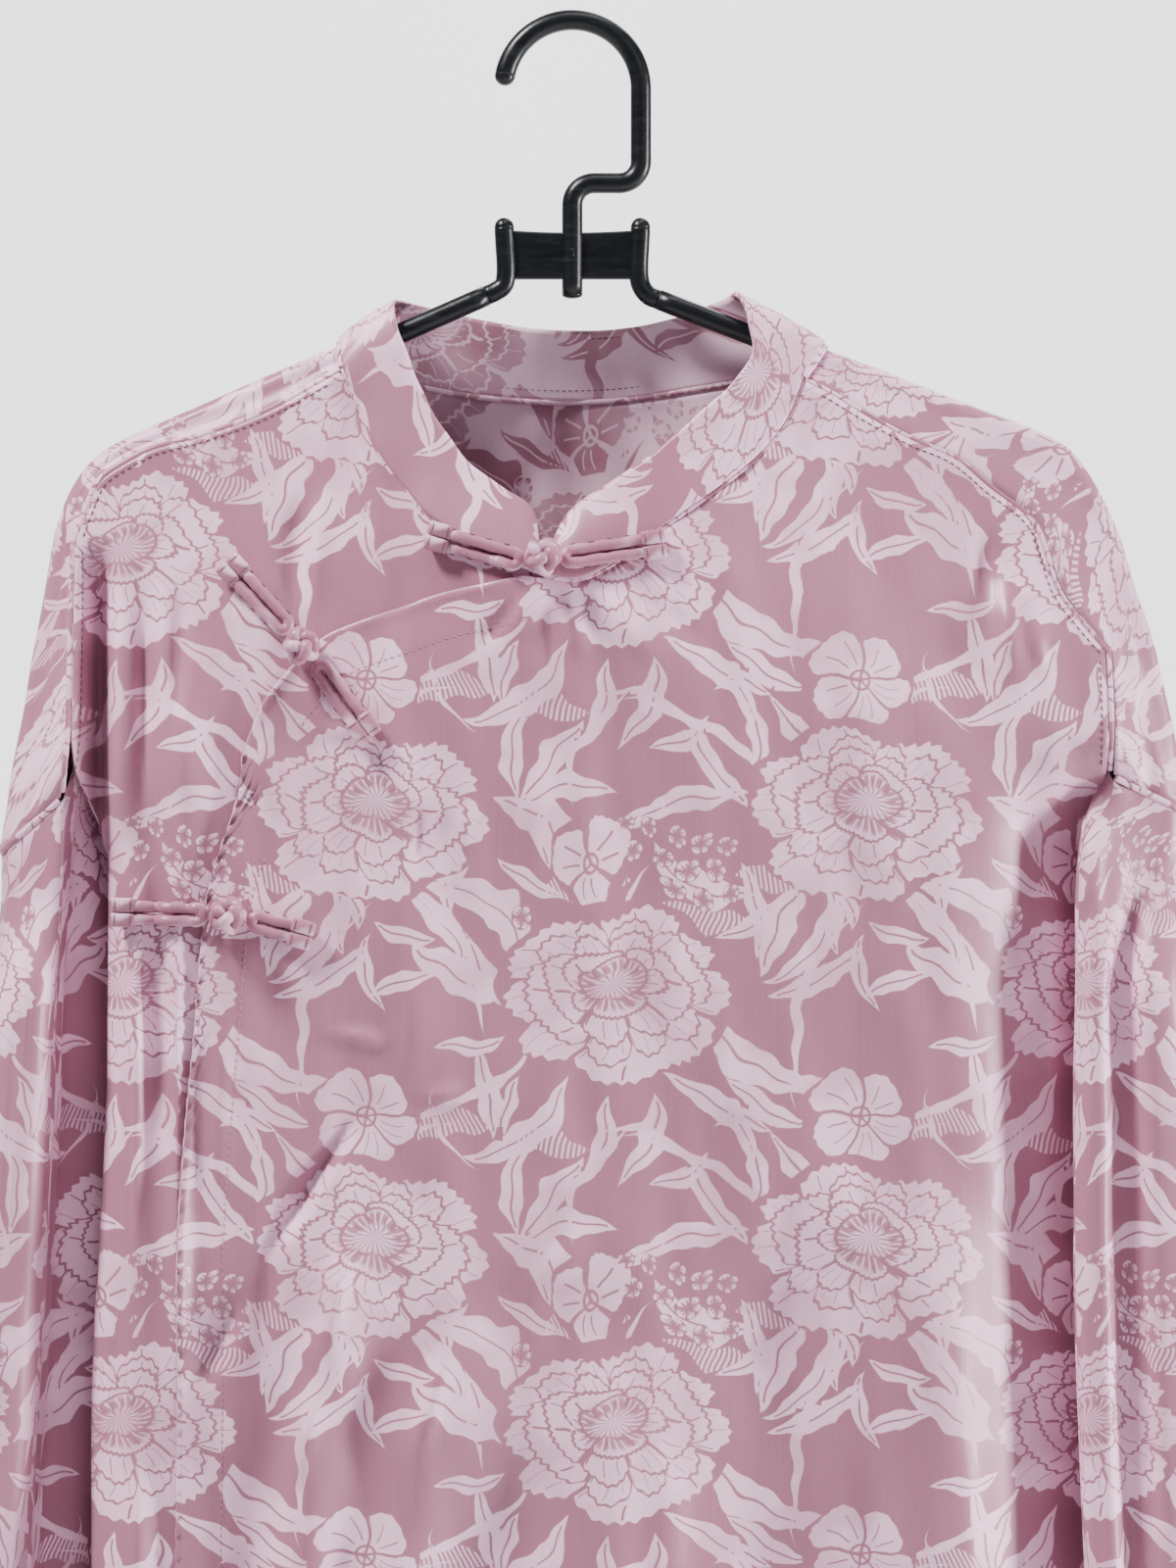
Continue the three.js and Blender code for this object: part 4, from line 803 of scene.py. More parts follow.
# Height of each point of a cap's section below its ridge: coarse for the collar and the sleeve's start.
COARSE_SECTION = [
    ("share", -1, 1), ("share", -1, 0.5), ("round", -1, 1), ("round", -1, 0.5), ("round", -1, 0.134),
    ("round", 1, 0), ("round", 1, 0.134), ("round", 1, 0.5), ("round", 1, 1),
    ("share", 1, 0.5), ("share", 1, 1),
]
COARSE_STEPS = 4
FINE_SECTION = (
    [("share", -1, s) for s in np.linspace(1, 0, 8, endpoint=False)]
    + [("round", -1, 1 - math.cos(a)) for a in np.linspace(math.pi / 2, 0, 7, endpoint=False)]
    + [("round", 1, 1 - math.cos(a)) for a in np.linspace(0, math.pi / 2, 7, endpoint=False)]
    + [("share", 1, s) for s in np.linspace(0, 1, 9)])
# How far the cloth's bend over the ridge reaches to each side, and its most as a share of the section.
ARM_ROOF = TUBE_RADIUS + SEAM_GAP + 1.2
ROOF_SHARE = 0.7
CORNER_ROOF = 8
FREE_ROOF = 12


def cap_section(seam, ridge, back, full_roof, gap, rows):
    """From the front seam over the ridge to the back line. seam and back are x, y, z; ridge is x, z."""
    out = []
    for kind, side, value in rows:
        foot = seam if side < 0 else back
        height = math.hypot(foot[0] - ridge[0], foot[2] - ridge[1])
        reach = height - gap if side < 0 else height
        roof = min(full_roof, ROOF_SHARE * reach)
        drop = roof * value if kind == "round" else mix(roof, reach, value)
        if kind == "share" and side > 0 and value == 1:
            out.append(np.asarray(back, float))
            continue
        y = roof * math.sqrt(1 - (1 - min(drop / roof, 1)) ** 2)
        y += (abs(foot[1]) - roof) * float(smooth(0, 1, (drop - roof) / (height - roof)))
        down = drop / height
        out.append(np.array([mix(ridge[0], foot[0], down), side * y, mix(ridge[1], foot[2], down)]))
    return np.array(out)


def cap_grid(side, drop_points, steps=CAP_STEPS, rows=FINE_SECTION):
    shares = np.arange(steps) / steps
    seam, ridge, back = (at_shares(curve_through(line[side]["shoulder"]), shares)
                         for line in (FRONT_SEAM, RIDGE, BACK_LINE))
    grid = []
    for t, foot, top, behind in zip(shares, seam, ridge, back):
        grid.append(cap_section(
            front_point(*foot), top, back_point(*behind),
            mix(ARM_ROOF, CORNER_ROOF, float(smooth(0.8, 1, t))),
            mix(EDGE_GAP, CORNER_GAP, float(smooth(0.35, 0.8, t))), rows))
    drop_ridge = curve_through(RIDGE[side]["drop"])
    seam_drop = FRONT_SEAM[side]["drop"]
    first, last = drop_points[0][2], drop_points[-1][2]
    for behind in drop_points:
        t = (behind[2] - first) / (last - first)
        foot_z = mix(seam_drop[0][1], seam_drop[-1][1], t)
        grid.append(cap_section(
            front_point(x_at(seam_drop, foot_z), foot_z), at_shares(drop_ridge, [t])[0], behind,
            mix(CORNER_ROOF, FREE_ROOF, t), CORNER_GAP, rows))
    return np.array(grid)


def back_panel(materials):
    left = evenly(BACK_LINE["left"]["shoulder"], CAP_STEPS)[::-1]
    right = evenly(BACK_LINE["right"]["shoulder"], CAP_STEPS)
    neck_xs = spaced(left[-1][0], right[0][0], 2.6)[1:-1]
    neck = evenly(NECK["back"], 80)
    tops = np.vstack([left, np.stack([neck_xs, z_at(neck, neck_xs)], axis=-1), right])
    grid, cloth = panel(tops, tops[:, 0], lambda z: x_at(LEFT_EDGE, z), lambda z: x_at(RIGHT_EDGE, z),
                        row_fractions(), back_point)
    sheet = Sheet().add(grid, cloth, True)
    rows = {"left": ROW_COUNTS[0] + ROW_COUNTS[1], "right": ROW_COUNTS[0]}
    columns = {"left": grid[:CAP_STEPS + 1][::-1], "right": grid[-CAP_STEPS - 1:]}
    for side, main in columns.items():
        cap = cap_grid(side, main[-1][:rows[side] + 1])
        for k in range(CAP_STEPS):
            cap[k][-1] = main[k][0]
        cap = puffed(cap, side)
        sheet.add(cap, cap_cloth(cap), side == "right")
    return sheet.make("back_cloth", materials)


def puffed(cap, side):
    """The cap with soft creases below the shoulder, where the upper arm hangs free."""
    steps, across = cap.shape[:2]
    run = np.arange(steps)[:, None] / (steps - 1)
    turn = np.arange(across)[None, :] / (across - 1)
    hold = smooth(0, 0.12, turn) * smooth(0, 0.12, 1 - turn)
    free = smooth(0.35, 0.75, run)
    wave = 0.8 * np.sin(21 * turn + 5 * run) + 0.6 * np.sin(33 * turn - 9 * run + 1)
    wave = wave + 0.35 * np.sin(40 * run + 7 * turn)
    sign = -1 if side == "left" else 1
    grown = cap.copy()
    grown[..., 0] += sign * 0.8 * hold * free * wave
    grown[..., 1] += 0.5 * hold * free * wave * np.sign(cap[..., 1])
    return grown


def cap_cloth(cap):
    """The cap continues the back's cloth, so its places run on from the back line."""
    steps = np.linalg.norm(np.diff(cap, axis=1), axis=2)
    run = np.concatenate([np.cumsum(steps[:, ::-1], axis=1)[:, ::-1], np.zeros((len(cap), 1))], axis=1)
    foot = cap[:, -1:, :]
    toward = cap[:, -4:-3, :] - foot
    length = np.maximum(np.hypot(toward[..., 0], toward[..., 2]), 1e-6)
    x = foot[..., 0] + run * toward[..., 0] / length
    z = foot[..., 2] + run * toward[..., 2] / length
    return np.stack([x, z], axis=-1)


SLEEVE_LEVELS = 150
SLEEVE_POINTS = 96
LEVEL_EASE = 1.15
# The flat cloth is laid out by the width at this level, from this place across.
MEASURED_LEVEL = 40
SLEEVE_CLOTH_X = {"left": -240, "right": 210}

# Columns: place round the tube in turns, its drift down the sleeve, width, rise. Long creases of each sleeve.
SLEEVE_CREASES = {
    "left": [
        [0.06, 0.03, 0.012, -1.6], [0.12, -0.02, 0.014, 1.8], [0.2, 0.03, 0.016, -2.2],
        [0.3, 0.02, 0.018, 1.6], [0.42, -0.03, 0.018, -1.6], [0.55, 0.04, 0.02, 1.8],
        [0.66, -0.03, 0.018, -1.8], [0.78, 0.02, 0.02, 1.4], [0.9, 0.02, 0.014, 1.4],
        [0.97, -0.02, 0.012, -1.4],
    ],
    "right": [
        [0.05, -0.02, 0.012, 1.8], [0.13, 0.03, 0.014, -1.6], [0.24, 0.05, 0.016, -2.4],
        [0.31, 0.05, 0.016, 1.6], [0.42, -0.03, 0.018, 1.4], [0.54, 0.04, 0.02, -1.8],
        [0.66, -0.03, 0.018, 1.6], [0.77, 0.02, 0.02, -1.4], [0.9, 0.02, 0.014, 1.4],
    ],
}


def coarse_cap(side, drop_rows):
    """The cap in few sections, with the given rows of the back line's drop as the last of them."""
    ends = [back_point(*BACK_LINE[side]["drop"][k]) for k in drop_rows]
    return cap_grid(side, ends, COARSE_STEPS, COARSE_SECTION)


def cap_end(side):
    return coarse_cap(side, (0, -1))[-1]


def sleeve(side, materials):
    shape = SLEEVES[side]
    end = cap_end(side)
    start = [np.array([end[k][0], end[k][1], end[k][2] - SLEEVE_GAP]) for k in shape["cap"]]
    start += [np.array([x, y, z]) for x, z, y in shape["armpit"]]
    turns = np.arange(SLEEVE_POINTS) / SLEEVE_POINTS
    rings = []
    for level in range(SLEEVE_LEVELS + 1):
        down = (level / SLEEVE_LEVELS) ** LEVEL_EASE
        points = []
        for point, (across, deep) in zip(start, shape["ring"]):
            settled = float(smooth(0, ARMPIT_SETTLE if across < ARMPIT_SHARE else SLEEVE_SETTLE, down))
            z = mix(point[2], CUFF_Z, down)
            depth = mix(SLEEVE_DEPTH["top"], mix(SLEEVE_DEPTH["middle"], SLEEVE_DEPTH["cuff"], down), settled)
            x = mix(point[0], mix(x_at(shape["inner"], z), x_at(shape["outer"], z), across), settled)
            points.append([float(x), mix(point[1], depth * deep, settled), z])
        rings.append(at_shares(curve_through(points, closed=True, per=12), turns))
    rings = np.array(rings)
    turn = turns[None, :]
    down = np.arange(SLEEVE_LEVELS + 1)[:, None] / SLEEVE_LEVELS
    after, before = np.roll(rings, -1, axis=1), np.roll(rings, 1, axis=1)
    along = after - before
    out = np.stack([-along[..., 1], along[..., 0]], axis=-1)
    out /= np.maximum(np.linalg.norm(out, axis=-1, keepdims=True), 1e-9)
    middle = rings[..., :2].mean(axis=1, keepdims=True)
    facing = np.sign(np.sum(out * (rings[..., :2] - middle), axis=(1, 2), keepdims=True))
    out = out * facing
    height = np.zeros((SLEEVE_LEVELS + 1, SLEEVE_POINTS))
    for place, drift, width, rise in SLEEVE_CREASES[side]:
        offset = (turn - place - drift * down * 2 + 0.5) % 1 - 0.5
        fade = smooth(0.02, 0.2, down) * (0.75 + 0.25 * np.sin(9 * down + 20 * place))
        height = height + rise * fade * np.exp(-((offset / width) ** 2))
    waves = np.sin(31 * down + 25 * turn) * np.sin(2 * math.pi * turn * 3)
    height = height + 0.35 * smooth(0, 0.1, down) * waves
    rings[..., :2] += out * height[..., None]
    closed = np.concatenate([rings, rings[:, :1]], axis=1)
    across = lengths(closed[MEASURED_LEVEL]) + SLEEVE_CLOTH_X[side]
    cloth = np.stack(np.broadcast_arrays(across[None, :], closed[..., 2]), axis=-1)
    grid = closed.transpose(1, 0, 2)
    return Sheet().add(grid, cloth.transpose(1, 0, 2), side == "left").make(f"sleeve_{side}_cloth", materials)


COLLAR_STEPS = {"left": 62, "back": 84, "right": 62}
COLLAR_BANDS = 18
COLLAR_ROUNDING = 6.5
COLLAR_END_SHARE = 0.42
COLLAR_CLOTH = (-140, -60)


def collar_runs():
    def over_ridge(side, picks):
        section = coarse_cap(side, (0, 1))[0]
        return [section[k] + [0, 0, COLLAR_RIDGE_LIFT] for k in picks]

    def front(rows):
        return [front_point(x, z) for x, z in reversed(rows)]

    feet = {
        "left": [*front(NECK["frontLeft"]), *over_ridge("left", [1, 2, 3, 5])],
        "back": [*over_ridge("left", [5, 7, 8, 9]), *[back_point(x, z) for x, z in NECK["back"]],
                 *over_ridge("right", [9, 8, 7, 5])],
        "right": [*over_ridge("right", [5, 3, 2, 1]), *front(NECK["frontRight"])],
    }
    for run in ("left", "back", "right"):
        tops = [[x, y, z] for x, z, y in COLLAR_TOP[run]]
        yield evenly(feet[run], COLLAR_STEPS[run]), evenly(tops, COLLAR_STEPS[run])


def collar(materials):
    lows, highs = [], []
    for foot, top in collar_runs():
        lows.append(foot if not lows else foot[1:])
        highs.append(top if not highs else top[1:])
    low, high = np.vstack(lows), np.vstack(highs)
    run = lengths((low + high) / 2)
    from_end = np.clip(np.minimum(run, run[-1] - run) / COLLAR_ROUNDING, 0, 1)
    height = mix(COLLAR_END_SHARE, 1, np.sqrt(1 - (1 - from_end) ** 2))
    up = np.linspace(1, 0, COLLAR_BANDS + 1)[None, :] * height[:, None]
    grid = low[:, None, :] + (high - low)[:, None, :] * up[..., None]
    outward = grid * [1, 1, 0]
    outward /= np.maximum(np.linalg.norm(outward, axis=-1, keepdims=True), 1e-6)
    edge_wave = 0.5 * np.sin(run[:, None] * 0.11) * up + 0.25 * np.sin(run[:, None] * 0.29 + 1) * up
    grid = grid + outward * (COLLAR_BELLY * np.sin(math.pi * up) + edge_wave)[..., None]
    grid[..., 2] += COLLAR_LIFT
    tall = np.linalg.norm(high - low, axis=1)[:, None] * up
    cloth = np.stack(np.broadcast_arrays(run[:, None] + COLLAR_CLOTH[0], tall + COLLAR_CLOTH[1]), axis=-1)
    return Sheet().add(grid, cloth, True).make("collar_cloth", materials, COLLAR_WALL, COLLAR_FACE)


# Tubes


def ring_faces(rings, sides, closed=False):
    """The faces between neighbouring rings of points."""
    faces = []
    for i in range(rings if closed else rings - 1):
        j = (i + 1) % rings
        for k in range(sides):
            n = (k + 1) % sides
            faces.append([i * sides + k, i * sides + n, j * sides + n, j * sides + k])
    return faces


def end_faces(rings, sides):
    return [list(range(sides))[::-1], [(rings - 1) * sides + k for k in range(sides)]]


def tube(points, radius, sides, closed=False, flare=None):
    """A tube along points: vertices, faces and, for each vertex, its place round and along."""
    points = np.asarray(points, float)
    count = len(points)
    ahead = np.roll(points, -1, axis=0) if closed else np.vstack([points[1:], 2 * points[-1] - points[-2]])
    behind = np.roll(points, 1, axis=0) if closed else np.vstack([2 * points[0] - points[1], points[:-1]])
    along = ahead - behind
    along /= np.linalg.norm(along, axis=1, keepdims=True)
    side = np.cross(along[0], [0, 1, 0])
    if np.linalg.norm(side) < 1e-3:
        side = np.cross(along[0], [1, 0, 0])
    side /= np.linalg.norm(side)
    frames = []
    for direction in along:
        side = side - direction * np.dot(side, direction)
        side /= np.linalg.norm(side)
        frames.append((side.copy(), np.cross(direction, side)))
    radii = np.full(count, radius) if flare is None else radius * np.asarray(flare)
    turns = 2 * math.pi * np.arange(sides) / sides
    verts = [point + r * (math.cos(t) * a + math.sin(t) * b)
             for point, (a, b), r in zip(points, frames, radii) for t in turns]
    faces = ring_faces(count, sides, closed)
    if not closed:
        faces += end_faces(count, sides)
    cloth = [[radius * t, s] for s in lengths(points) for t in turns]
    return verts, faces, cloth


def ball(centre, radii, rows=16, columns=24):
    verts, cloth = [], []
    for i in range(rows + 1):
        lat = math.pi * (i / rows - 0.5)
        for k in range(columns):
            lon = 2 * math.pi * k / columns
            unit = np.array([math.cos(lat) * math.cos(lon), math.sin(lat), math.cos(lat) * math.sin(lon)])
            verts.append(np.asarray(centre) + unit * radii)
            cloth.append([radii[0] * lon, radii[0] * lat])
    return verts, ring_faces(rows + 1, columns), cloth


SLAB = {"levels": 4, "points": 40, "corner": 0.3, "shrink": 0.21}


def rounded_slab(centre, along, size):
    """A soft-edged block, length by height by width, turned so that its length runs along."""
    verts, cloth = [], []
    across = np.array([-along[2], 0, along[0]])
    for level in range(SLAB["levels"] + 1):
        lat = math.pi * (level / SLAB["levels"] - 0.5)
        narrow = 1 - SLAB["shrink"] * abs(math.sin(lat)) ** 3
        for k in range(SLAB["points"]):
            t = 2 * math.pi * (k + 0.5) / SLAB["points"]
            x, z = (math.copysign(abs(part) ** SLAB["corner"], part) * narrow * half / 2
                    for part, half in ((math.cos(t), size[0]), (math.sin(t), size[2])))
            verts.append(np.asarray(centre) + along * x + across * z + [0, math.sin(lat) * size[1] / 2, 0])
            cloth.append([x, z])
    rings = SLAB["levels"] + 1
    return verts, ring_faces(rings, SLAB["points"]) + end_faces(rings, SLAB["points"]), cloth


def solid_piece(name, forms, materials):
    """One object from several (verts, faces, cloth) forms, each with the index of its material."""
    verts, faces, places, indexes = [], [], [], []
    for (form_verts, form_faces, form_cloth), material in forms:
        base = len(verts)
        verts += list(form_verts)
        for face in form_faces:
            faces.append([base + v for v in face])
            places += [form_cloth[v] for v in face]
            indexes.append(material)
    return cloth_piece(name, verts, faces, places, materials, indexes)


# Materials


class Ink:
    """A number in a material's node tree, which plain arithmetic turns into Math nodes."""

    tree = None

    def __init__(self, socket):
        self.socket = socket

    def __add__(self, other):
        return maths("ADD", self, other)

    __radd__ = __add__

    def __sub__(self, other):
        return maths("SUBTRACT", self, other)

    def __rsub__(self, other):
        return maths("SUBTRACT", other, self)

    def __mul__(self, other):
        return maths("MULTIPLY", self, other)

    __rmul__ = __mul__

    def __truediv__(self, other):
        return maths("DIVIDE", self, other)

    def __abs__(self):
        return maths("ABSOLUTE", self)


def set_inputs(node, values):
    for name, value in values.items():
        node.inputs[name].default_value = value


def feed(node, index, value):
    if isinstance(value, Ink):
        Ink.tree.links.new(value.socket, node.inputs[index])
    else:
        node.inputs[index].default_value = value


def maths(operation, *values):
    node = Ink.tree.nodes.new("ShaderNodeMath")
    node.operation = operation
    for index, value in enumerate(values):
        feed(node, index, value)
    return Ink(node.outputs[0])


def least(a, b):
    return maths("MINIMUM", a, b)


def most(a, b):
    return maths("MAXIMUM", a, b)


def sine(a):
    return maths("SINE", a)


def root(a):
    return maths("SQRT", a)


def between(low, high, value):
    """0 below low and 1 above high, with a soft step between them."""
    node = Ink.tree.nodes.new("ShaderNodeMapRange")
    node.interpolation_type = "SMOOTHSTEP"
    feed(node, 0, value)
    feed(node, 1, low)
    feed(node, 2, high)
    return Ink(node.outputs[0])


def blend_by(a, b, t):
    return a + (b - a) * t


EDGE_SOFTNESS = 0.28


def inside(distance):
    """1 where the distance into a shape, in mm, is above 0."""
    return between(-EDGE_SOFTNESS, EDGE_SOFTNESS, distance)


def separated(value):
    node = Ink.tree.nodes.new("ShaderNodeSeparateXYZ")
    feed(node, 0, value)
    return [Ink(socket) for socket in node.outputs]


def noise(place, scale, detail, roughness=0.5, flat=True):
    node = Ink.tree.nodes.new("ShaderNodeTexNoise")
    node.noise_dimensions = "2D" if flat else "3D"
    feed(node, "Vector", place)
    set_inputs(node, {"Scale": scale, "Detail": detail, "Roughness": roughness})
    return Ink(node.outputs["Fac"])


def attribute(name):
    node = Ink.tree.nodes.new("ShaderNodeAttribute")
    node.attribute_name = name
    return separated(Ink(node.outputs["Vector"]))


def peony(x, y):
    """Rings of ruffled petals round a speckled heart. x and y are mm from its middle."""
    across = x / PEONY_SIZE[0]
    up = y / PEONY_SIZE[1] - PEONY_MIDDLE
    angle = maths("ARCTAN2", up, across)
    reach = root(across * across + up * up)
    height = up / most(reach, 0.01)
    sway = 0.34 * sine(2 * angle + 0.8)
    teeth = maths("PINGPONG", angle * 8.0, 0.5)
    woven = None
    for radius, petals, turn, lift, notch in PETAL_RINGS:
        bent = (angle + sway if petals % 2 else angle - sway) * (petals / 2) + turn
        wave = abs(maths("COSINE", bent))
        edge = radius * (1 - notch) + lift * height + (radius * notch) * root(wave)
        edge = edge - (0.09 * radius) * teeth
        distance = (edge - reach) * PEONY_REACH
        fill = inside(distance)
        notch_line = inside(wave * reach * (84 / petals) - 0.9)
        vein = abs(maths("COSINE", bent * 3 + 0.6))
        vein_band = maths("COMPARE", distance, 5.0, 3.2)
        veins = 1 - (1 - inside(vein * reach * 14 - 0.8)) * vein_band
        petal = notch_line * veins
        if woven is None:
            woven = fill * petal
        else:
            rim = inside(abs(distance + 0.5) - 0.75)
            woven = blend_by(woven * rim, petal, fill)
    spokes = inside(abs(sine(angle * 9)) * 3 - 1.3)
    heart = between(0.2, 0.12, reach)
    outer_heart = between(0.34, 0.26, reach) * inside(abs(sine(angle * 13 + reach * 9)) * 5 - 2.6)
    return blend_by(woven, spokes, heart) * (1 - 0.85 * (outer_heart * (1 - heart)))


def bloom(x, up, size, petals, turn):
    """An open flower, a bud or a floret, with a few wide petals."""
    angle = maths("ARCTAN2", up, x)
    reach = root(x * x + up * up)
    bent = (angle + 0.3 * sine(angle + turn)) * (petals * 0.5) + turn
    wave = abs(maths("COSINE", bent))
    teeth = maths("PINGPONG", angle * 4.5, 0.5)
    edge = size * 0.56 + (size * 0.44) * root(wave) - (size * 0.06) * teeth
    lines = inside(wave * reach * 2 / petals - 0.5)
    vein = abs(maths("COSINE", bent * 3 + 0.4))
    veins = 1 - (1 - inside(vein * reach * 0.3 - 0.5)) * maths("COMPARE", reach, size * 0.5, size * 0.22)
    centre = inside(abs(reach - size * 0.17) - 0.5)
    return inside(edge - reach) * lines * veins * centre


def spray_depth(name):
    """How far a place lies inside its nearest leaf, stem or comb, in mm."""
    along, across, kind = attribute(name)
    bend, half_width, half_length = attribute(name + "_form")
    square = along * along
    taper = 1 - square
    bowed = abs(across - taper * bend)
    ruffle = 1 + 0.1 * sine(along * half_length * 0.55)
    distance = taper * half_width * ruffle - bowed
    vein = most(bowed - 0.42, square * 20 - 14) + abs(kind - LEAF) * 99
    comb = maths("PINGPONG", along * half_length * 0.5, 0.5) * 2 - 0.5 + abs(kind - COMB) * 99
    return least(distance, least(vein, comb))


def pattern_group():
    """The woven pattern as a node group: 0 is satin ground, 1 is the pale motif."""
    group = bpy.data.node_groups.new("woven_pattern", "ShaderNodeTree")
    group.interface.new_socket("Motif", in_out="OUTPUT", socket_type="NodeSocketFloat")
    Ink.tree = group
    exit_node = group.nodes.new("NodeGroupOutput")
    flower_x, flower_y, _ = attribute("flower")
    flowers = peony(flower_x, flower_y)
    oval = root(flower_x * flower_x + OVAL * (flower_y * flower_y)) / PEONY_SIZE[0]
    flower_ground = inside((1.03 - oval) * PEONY_REACH)
    bloom_x, bloom_y, size = attribute("rosette")
    petals, turn, _ = attribute("rosette_form")
    blooms = bloom(bloom_x, bloom_y, size, petals, turn)
    bloom_ground = inside(size * 1.04 - root(bloom_x * bloom_x + bloom_y * bloom_y))
    leaves = inside(most(spray_depth("spray_a"), spray_depth("spray_b")))
    leaves = blend_by(leaves, blooms, bloom_ground)
    woven = most(flowers, leaves * (1 - flower_ground))
    group.links.new(woven.socket, exit_node.inputs[0])
    return group


PATTERN = pattern_group()


def new_material(name):
    material = bpy.data.materials.new(name)
    material.use_nodes = True
    Ink.tree = material.node_tree
    return material, next(n for n in material.node_tree.nodes if n.type == "BSDF_PRINCIPLED")


def cloth_place():
    """The place on the flat cloth, in metres."""
    node = Ink.tree.nodes.new("ShaderNodeUVMap")
    node.uv_map = "cloth"
    return Ink(node.outputs[0])


def object_place():
    return Ink(Ink.tree.nodes.new("ShaderNodeTexCoord").outputs["Object"])


def add_bump(shader, height, strength, distance):
    bump = Ink.tree.nodes.new("ShaderNodeBump")
    set_inputs(bump, {"Strength": strength, "Distance": distance})
    feed(bump, "Height", height)
    feed(shader, "Normal", Ink(bump.outputs[0]))


def colour_ramp(value, stops):
    node = Ink.tree.nodes.new("ShaderNodeValToRGB")
    ramp = node.color_ramp
    for index, (place, colour) in enumerate(stops):
        stop = ramp.elements[index] if index < 2 else ramp.elements.new(place)
        stop.position = place
        stop.color = (*colour, 1)
    feed(node, 0, value)
    return Ink(node.outputs[0])


def mixed_colour(a, b, factor):
    node = Ink.tree.nodes.new("ShaderNodeMix")
    node.data_type = "RGBA"
    feed(node, 0, factor)
    feed(node, 6, a if isinstance(a, Ink) else (*a, 1))
    feed(node, 7, b if isinstance(b, Ink) else (*b, 1))
    return Ink(node.outputs[2])


def varied(colour, darkest, palest, factor):
    """The colour from darkest to palest times its own tone."""
    return mixed_colour([c * darkest for c in colour], [min(1, c * palest) for c in colour], factor)


def scaled_place(place, factors):
    node = Ink.tree.nodes.new("ShaderNodeVectorMath")
    node.operation = "MULTIPLY"
    feed(node, 0, place)
    node.inputs[1].default_value = factors
    return Ink(node.outputs[0])


# Features to a metre of cloth, across and along: the ground's long streaks, its grain, and the motif's twill.
STREAKS = (900, 26, 1)
GRAIN = (1400, 1400, 1)
TWILL = 5200
THREAD_TWIST = (2500, 2500, 1)


def satin(name, ground, motif, reverse=False, pattern=True, ground_rough=0.34, motif_rough=0.5):
    """Patterned satin: a smooth lengthwise ground, and a matt motif with a fine slanting twill."""
    material, shader = new_material(name)
    place = cloth_place()
    if pattern:
        use = Ink.tree.nodes.new("ShaderNodeGroup")
        use.node_tree = PATTERN
        woven = Ink(use.outputs[0])
    else:
        woven = between(0.45, 0.6, noise(place, 60, 1.0))
    woven = woven * (0.68 + 0.32 * between(0.36, 0.6, noise(place, 24, 2.0, 0.65)))
    if reverse:
        woven = 1 - woven
    streaks = noise(scaled_place(place, STREAKS), 1.0, 1.0, 0.6)
    grain = noise(scaled_place(place, GRAIN), 1.0, 0.0, 0.5)
    cloudy = noise(place, 9.0, 1.0)
    tone = (streaks - 0.5) * 0.34 + (grain - 0.5) * 0.3 + (cloudy - 0.5) * 0.22 + 0.5
    colour = mixed_colour(varied(ground, 0.84, 1.16, tone), varied(motif, 0.86, 1.12, tone), woven)
    feed(shader, "Base Color", colour)
    feed(shader, "Roughness", blend_by(ground_rough, motif_rough, woven) + (grain - 0.5) * 0.12)
    u, v, _ = separated(place)
    twill = sine((u + v) * TWILL) * 0.5 + 0.5
    add_bump(shader, grain * 0.5 + streaks * 0.5 + twill * 0.18, 0.16, 0.0004)
    set_inputs(shader, {
        "Sheen Weight": 0.12, "Sheen Roughness": 0.45, "Sheen Tint": (1.0, 0.86, 0.93, 1),
        "Specular IOR Level": 0.5, "Specular Tint": (1.0, 0.78, 0.92, 1), "IOR": 1.5, "Anisotropic": 0.6,
    })
    thread = Ink.tree.nodes.new("ShaderNodeTangent")
    thread.direction_type = "UV_MAP"
    thread.uv_map = "cloth"
    feed(shader, "Tangent", Ink(thread.outputs[0]))
    return material


GROUND_ROSE = (0.36, 0.145, 0.21)
MOTIF_PINK = (0.88, 0.53, 0.70)
REVERSE_GROUND = (0.74, 0.48, 0.60)

OUTSIDE = satin("jacquard_outside", GROUND_ROSE, MOTIF_PINK)
REVERSE = satin("jacquard_reverse", GROUND_ROSE, REVERSE_GROUND, True, ground_rough=0.5, motif_rough=0.55)
TUBE_CLOTH = satin("closure_satin", (0.36, 0.14, 0.21), (0.70, 0.43, 0.56), pattern=False)


def thread_material(name, colour):
    material, shader = new_material(name)
    twist = noise(scaled_place(cloth_place(), THREAD_TWIST), 1.0, 1.0)
    feed(shader, "Base Color", varied(colour, 0.75, 1.2, twist))
    feed(shader, "Roughness", twist * 0.2 + 0.45)
    return material


DARK_THREAD = thread_material("dark_thread", (0.09, 0.03, 0.045))
PINK_THREAD = thread_material("pink_thread", (0.4, 0.19, 0.25))

# Black with a few paler scuffs.
PLASTIC_TONES = [(0.3, (0.0035, 0.004, 0.0055)), (0.62, (0.006, 0.007, 0.009)), (0.8, (0.02, 0.021, 0.025))]


def plastic_material():
    material, shader = new_material("black_plastic")
    place = object_place()
    specks = noise(place, 260, 2.0, 0.6, False)
    scuffs = noise(scaled_place(place, (60, 60, 400)), 1.0, 2.0, 0.6, False)
    feed(shader, "Base Color", colour_ramp(scuffs, PLASTIC_TONES))
    feed(shader, "Roughness", 0.2 + scuffs * 0.16 + specks * 0.06)
    add_bump(shader, specks + scuffs * 0.5, 0.12, 0.0006)
    set_inputs(shader, {"Specular IOR Level": 0.3})
    return material


PLASTIC = plastic_material()

# The garment's cloth

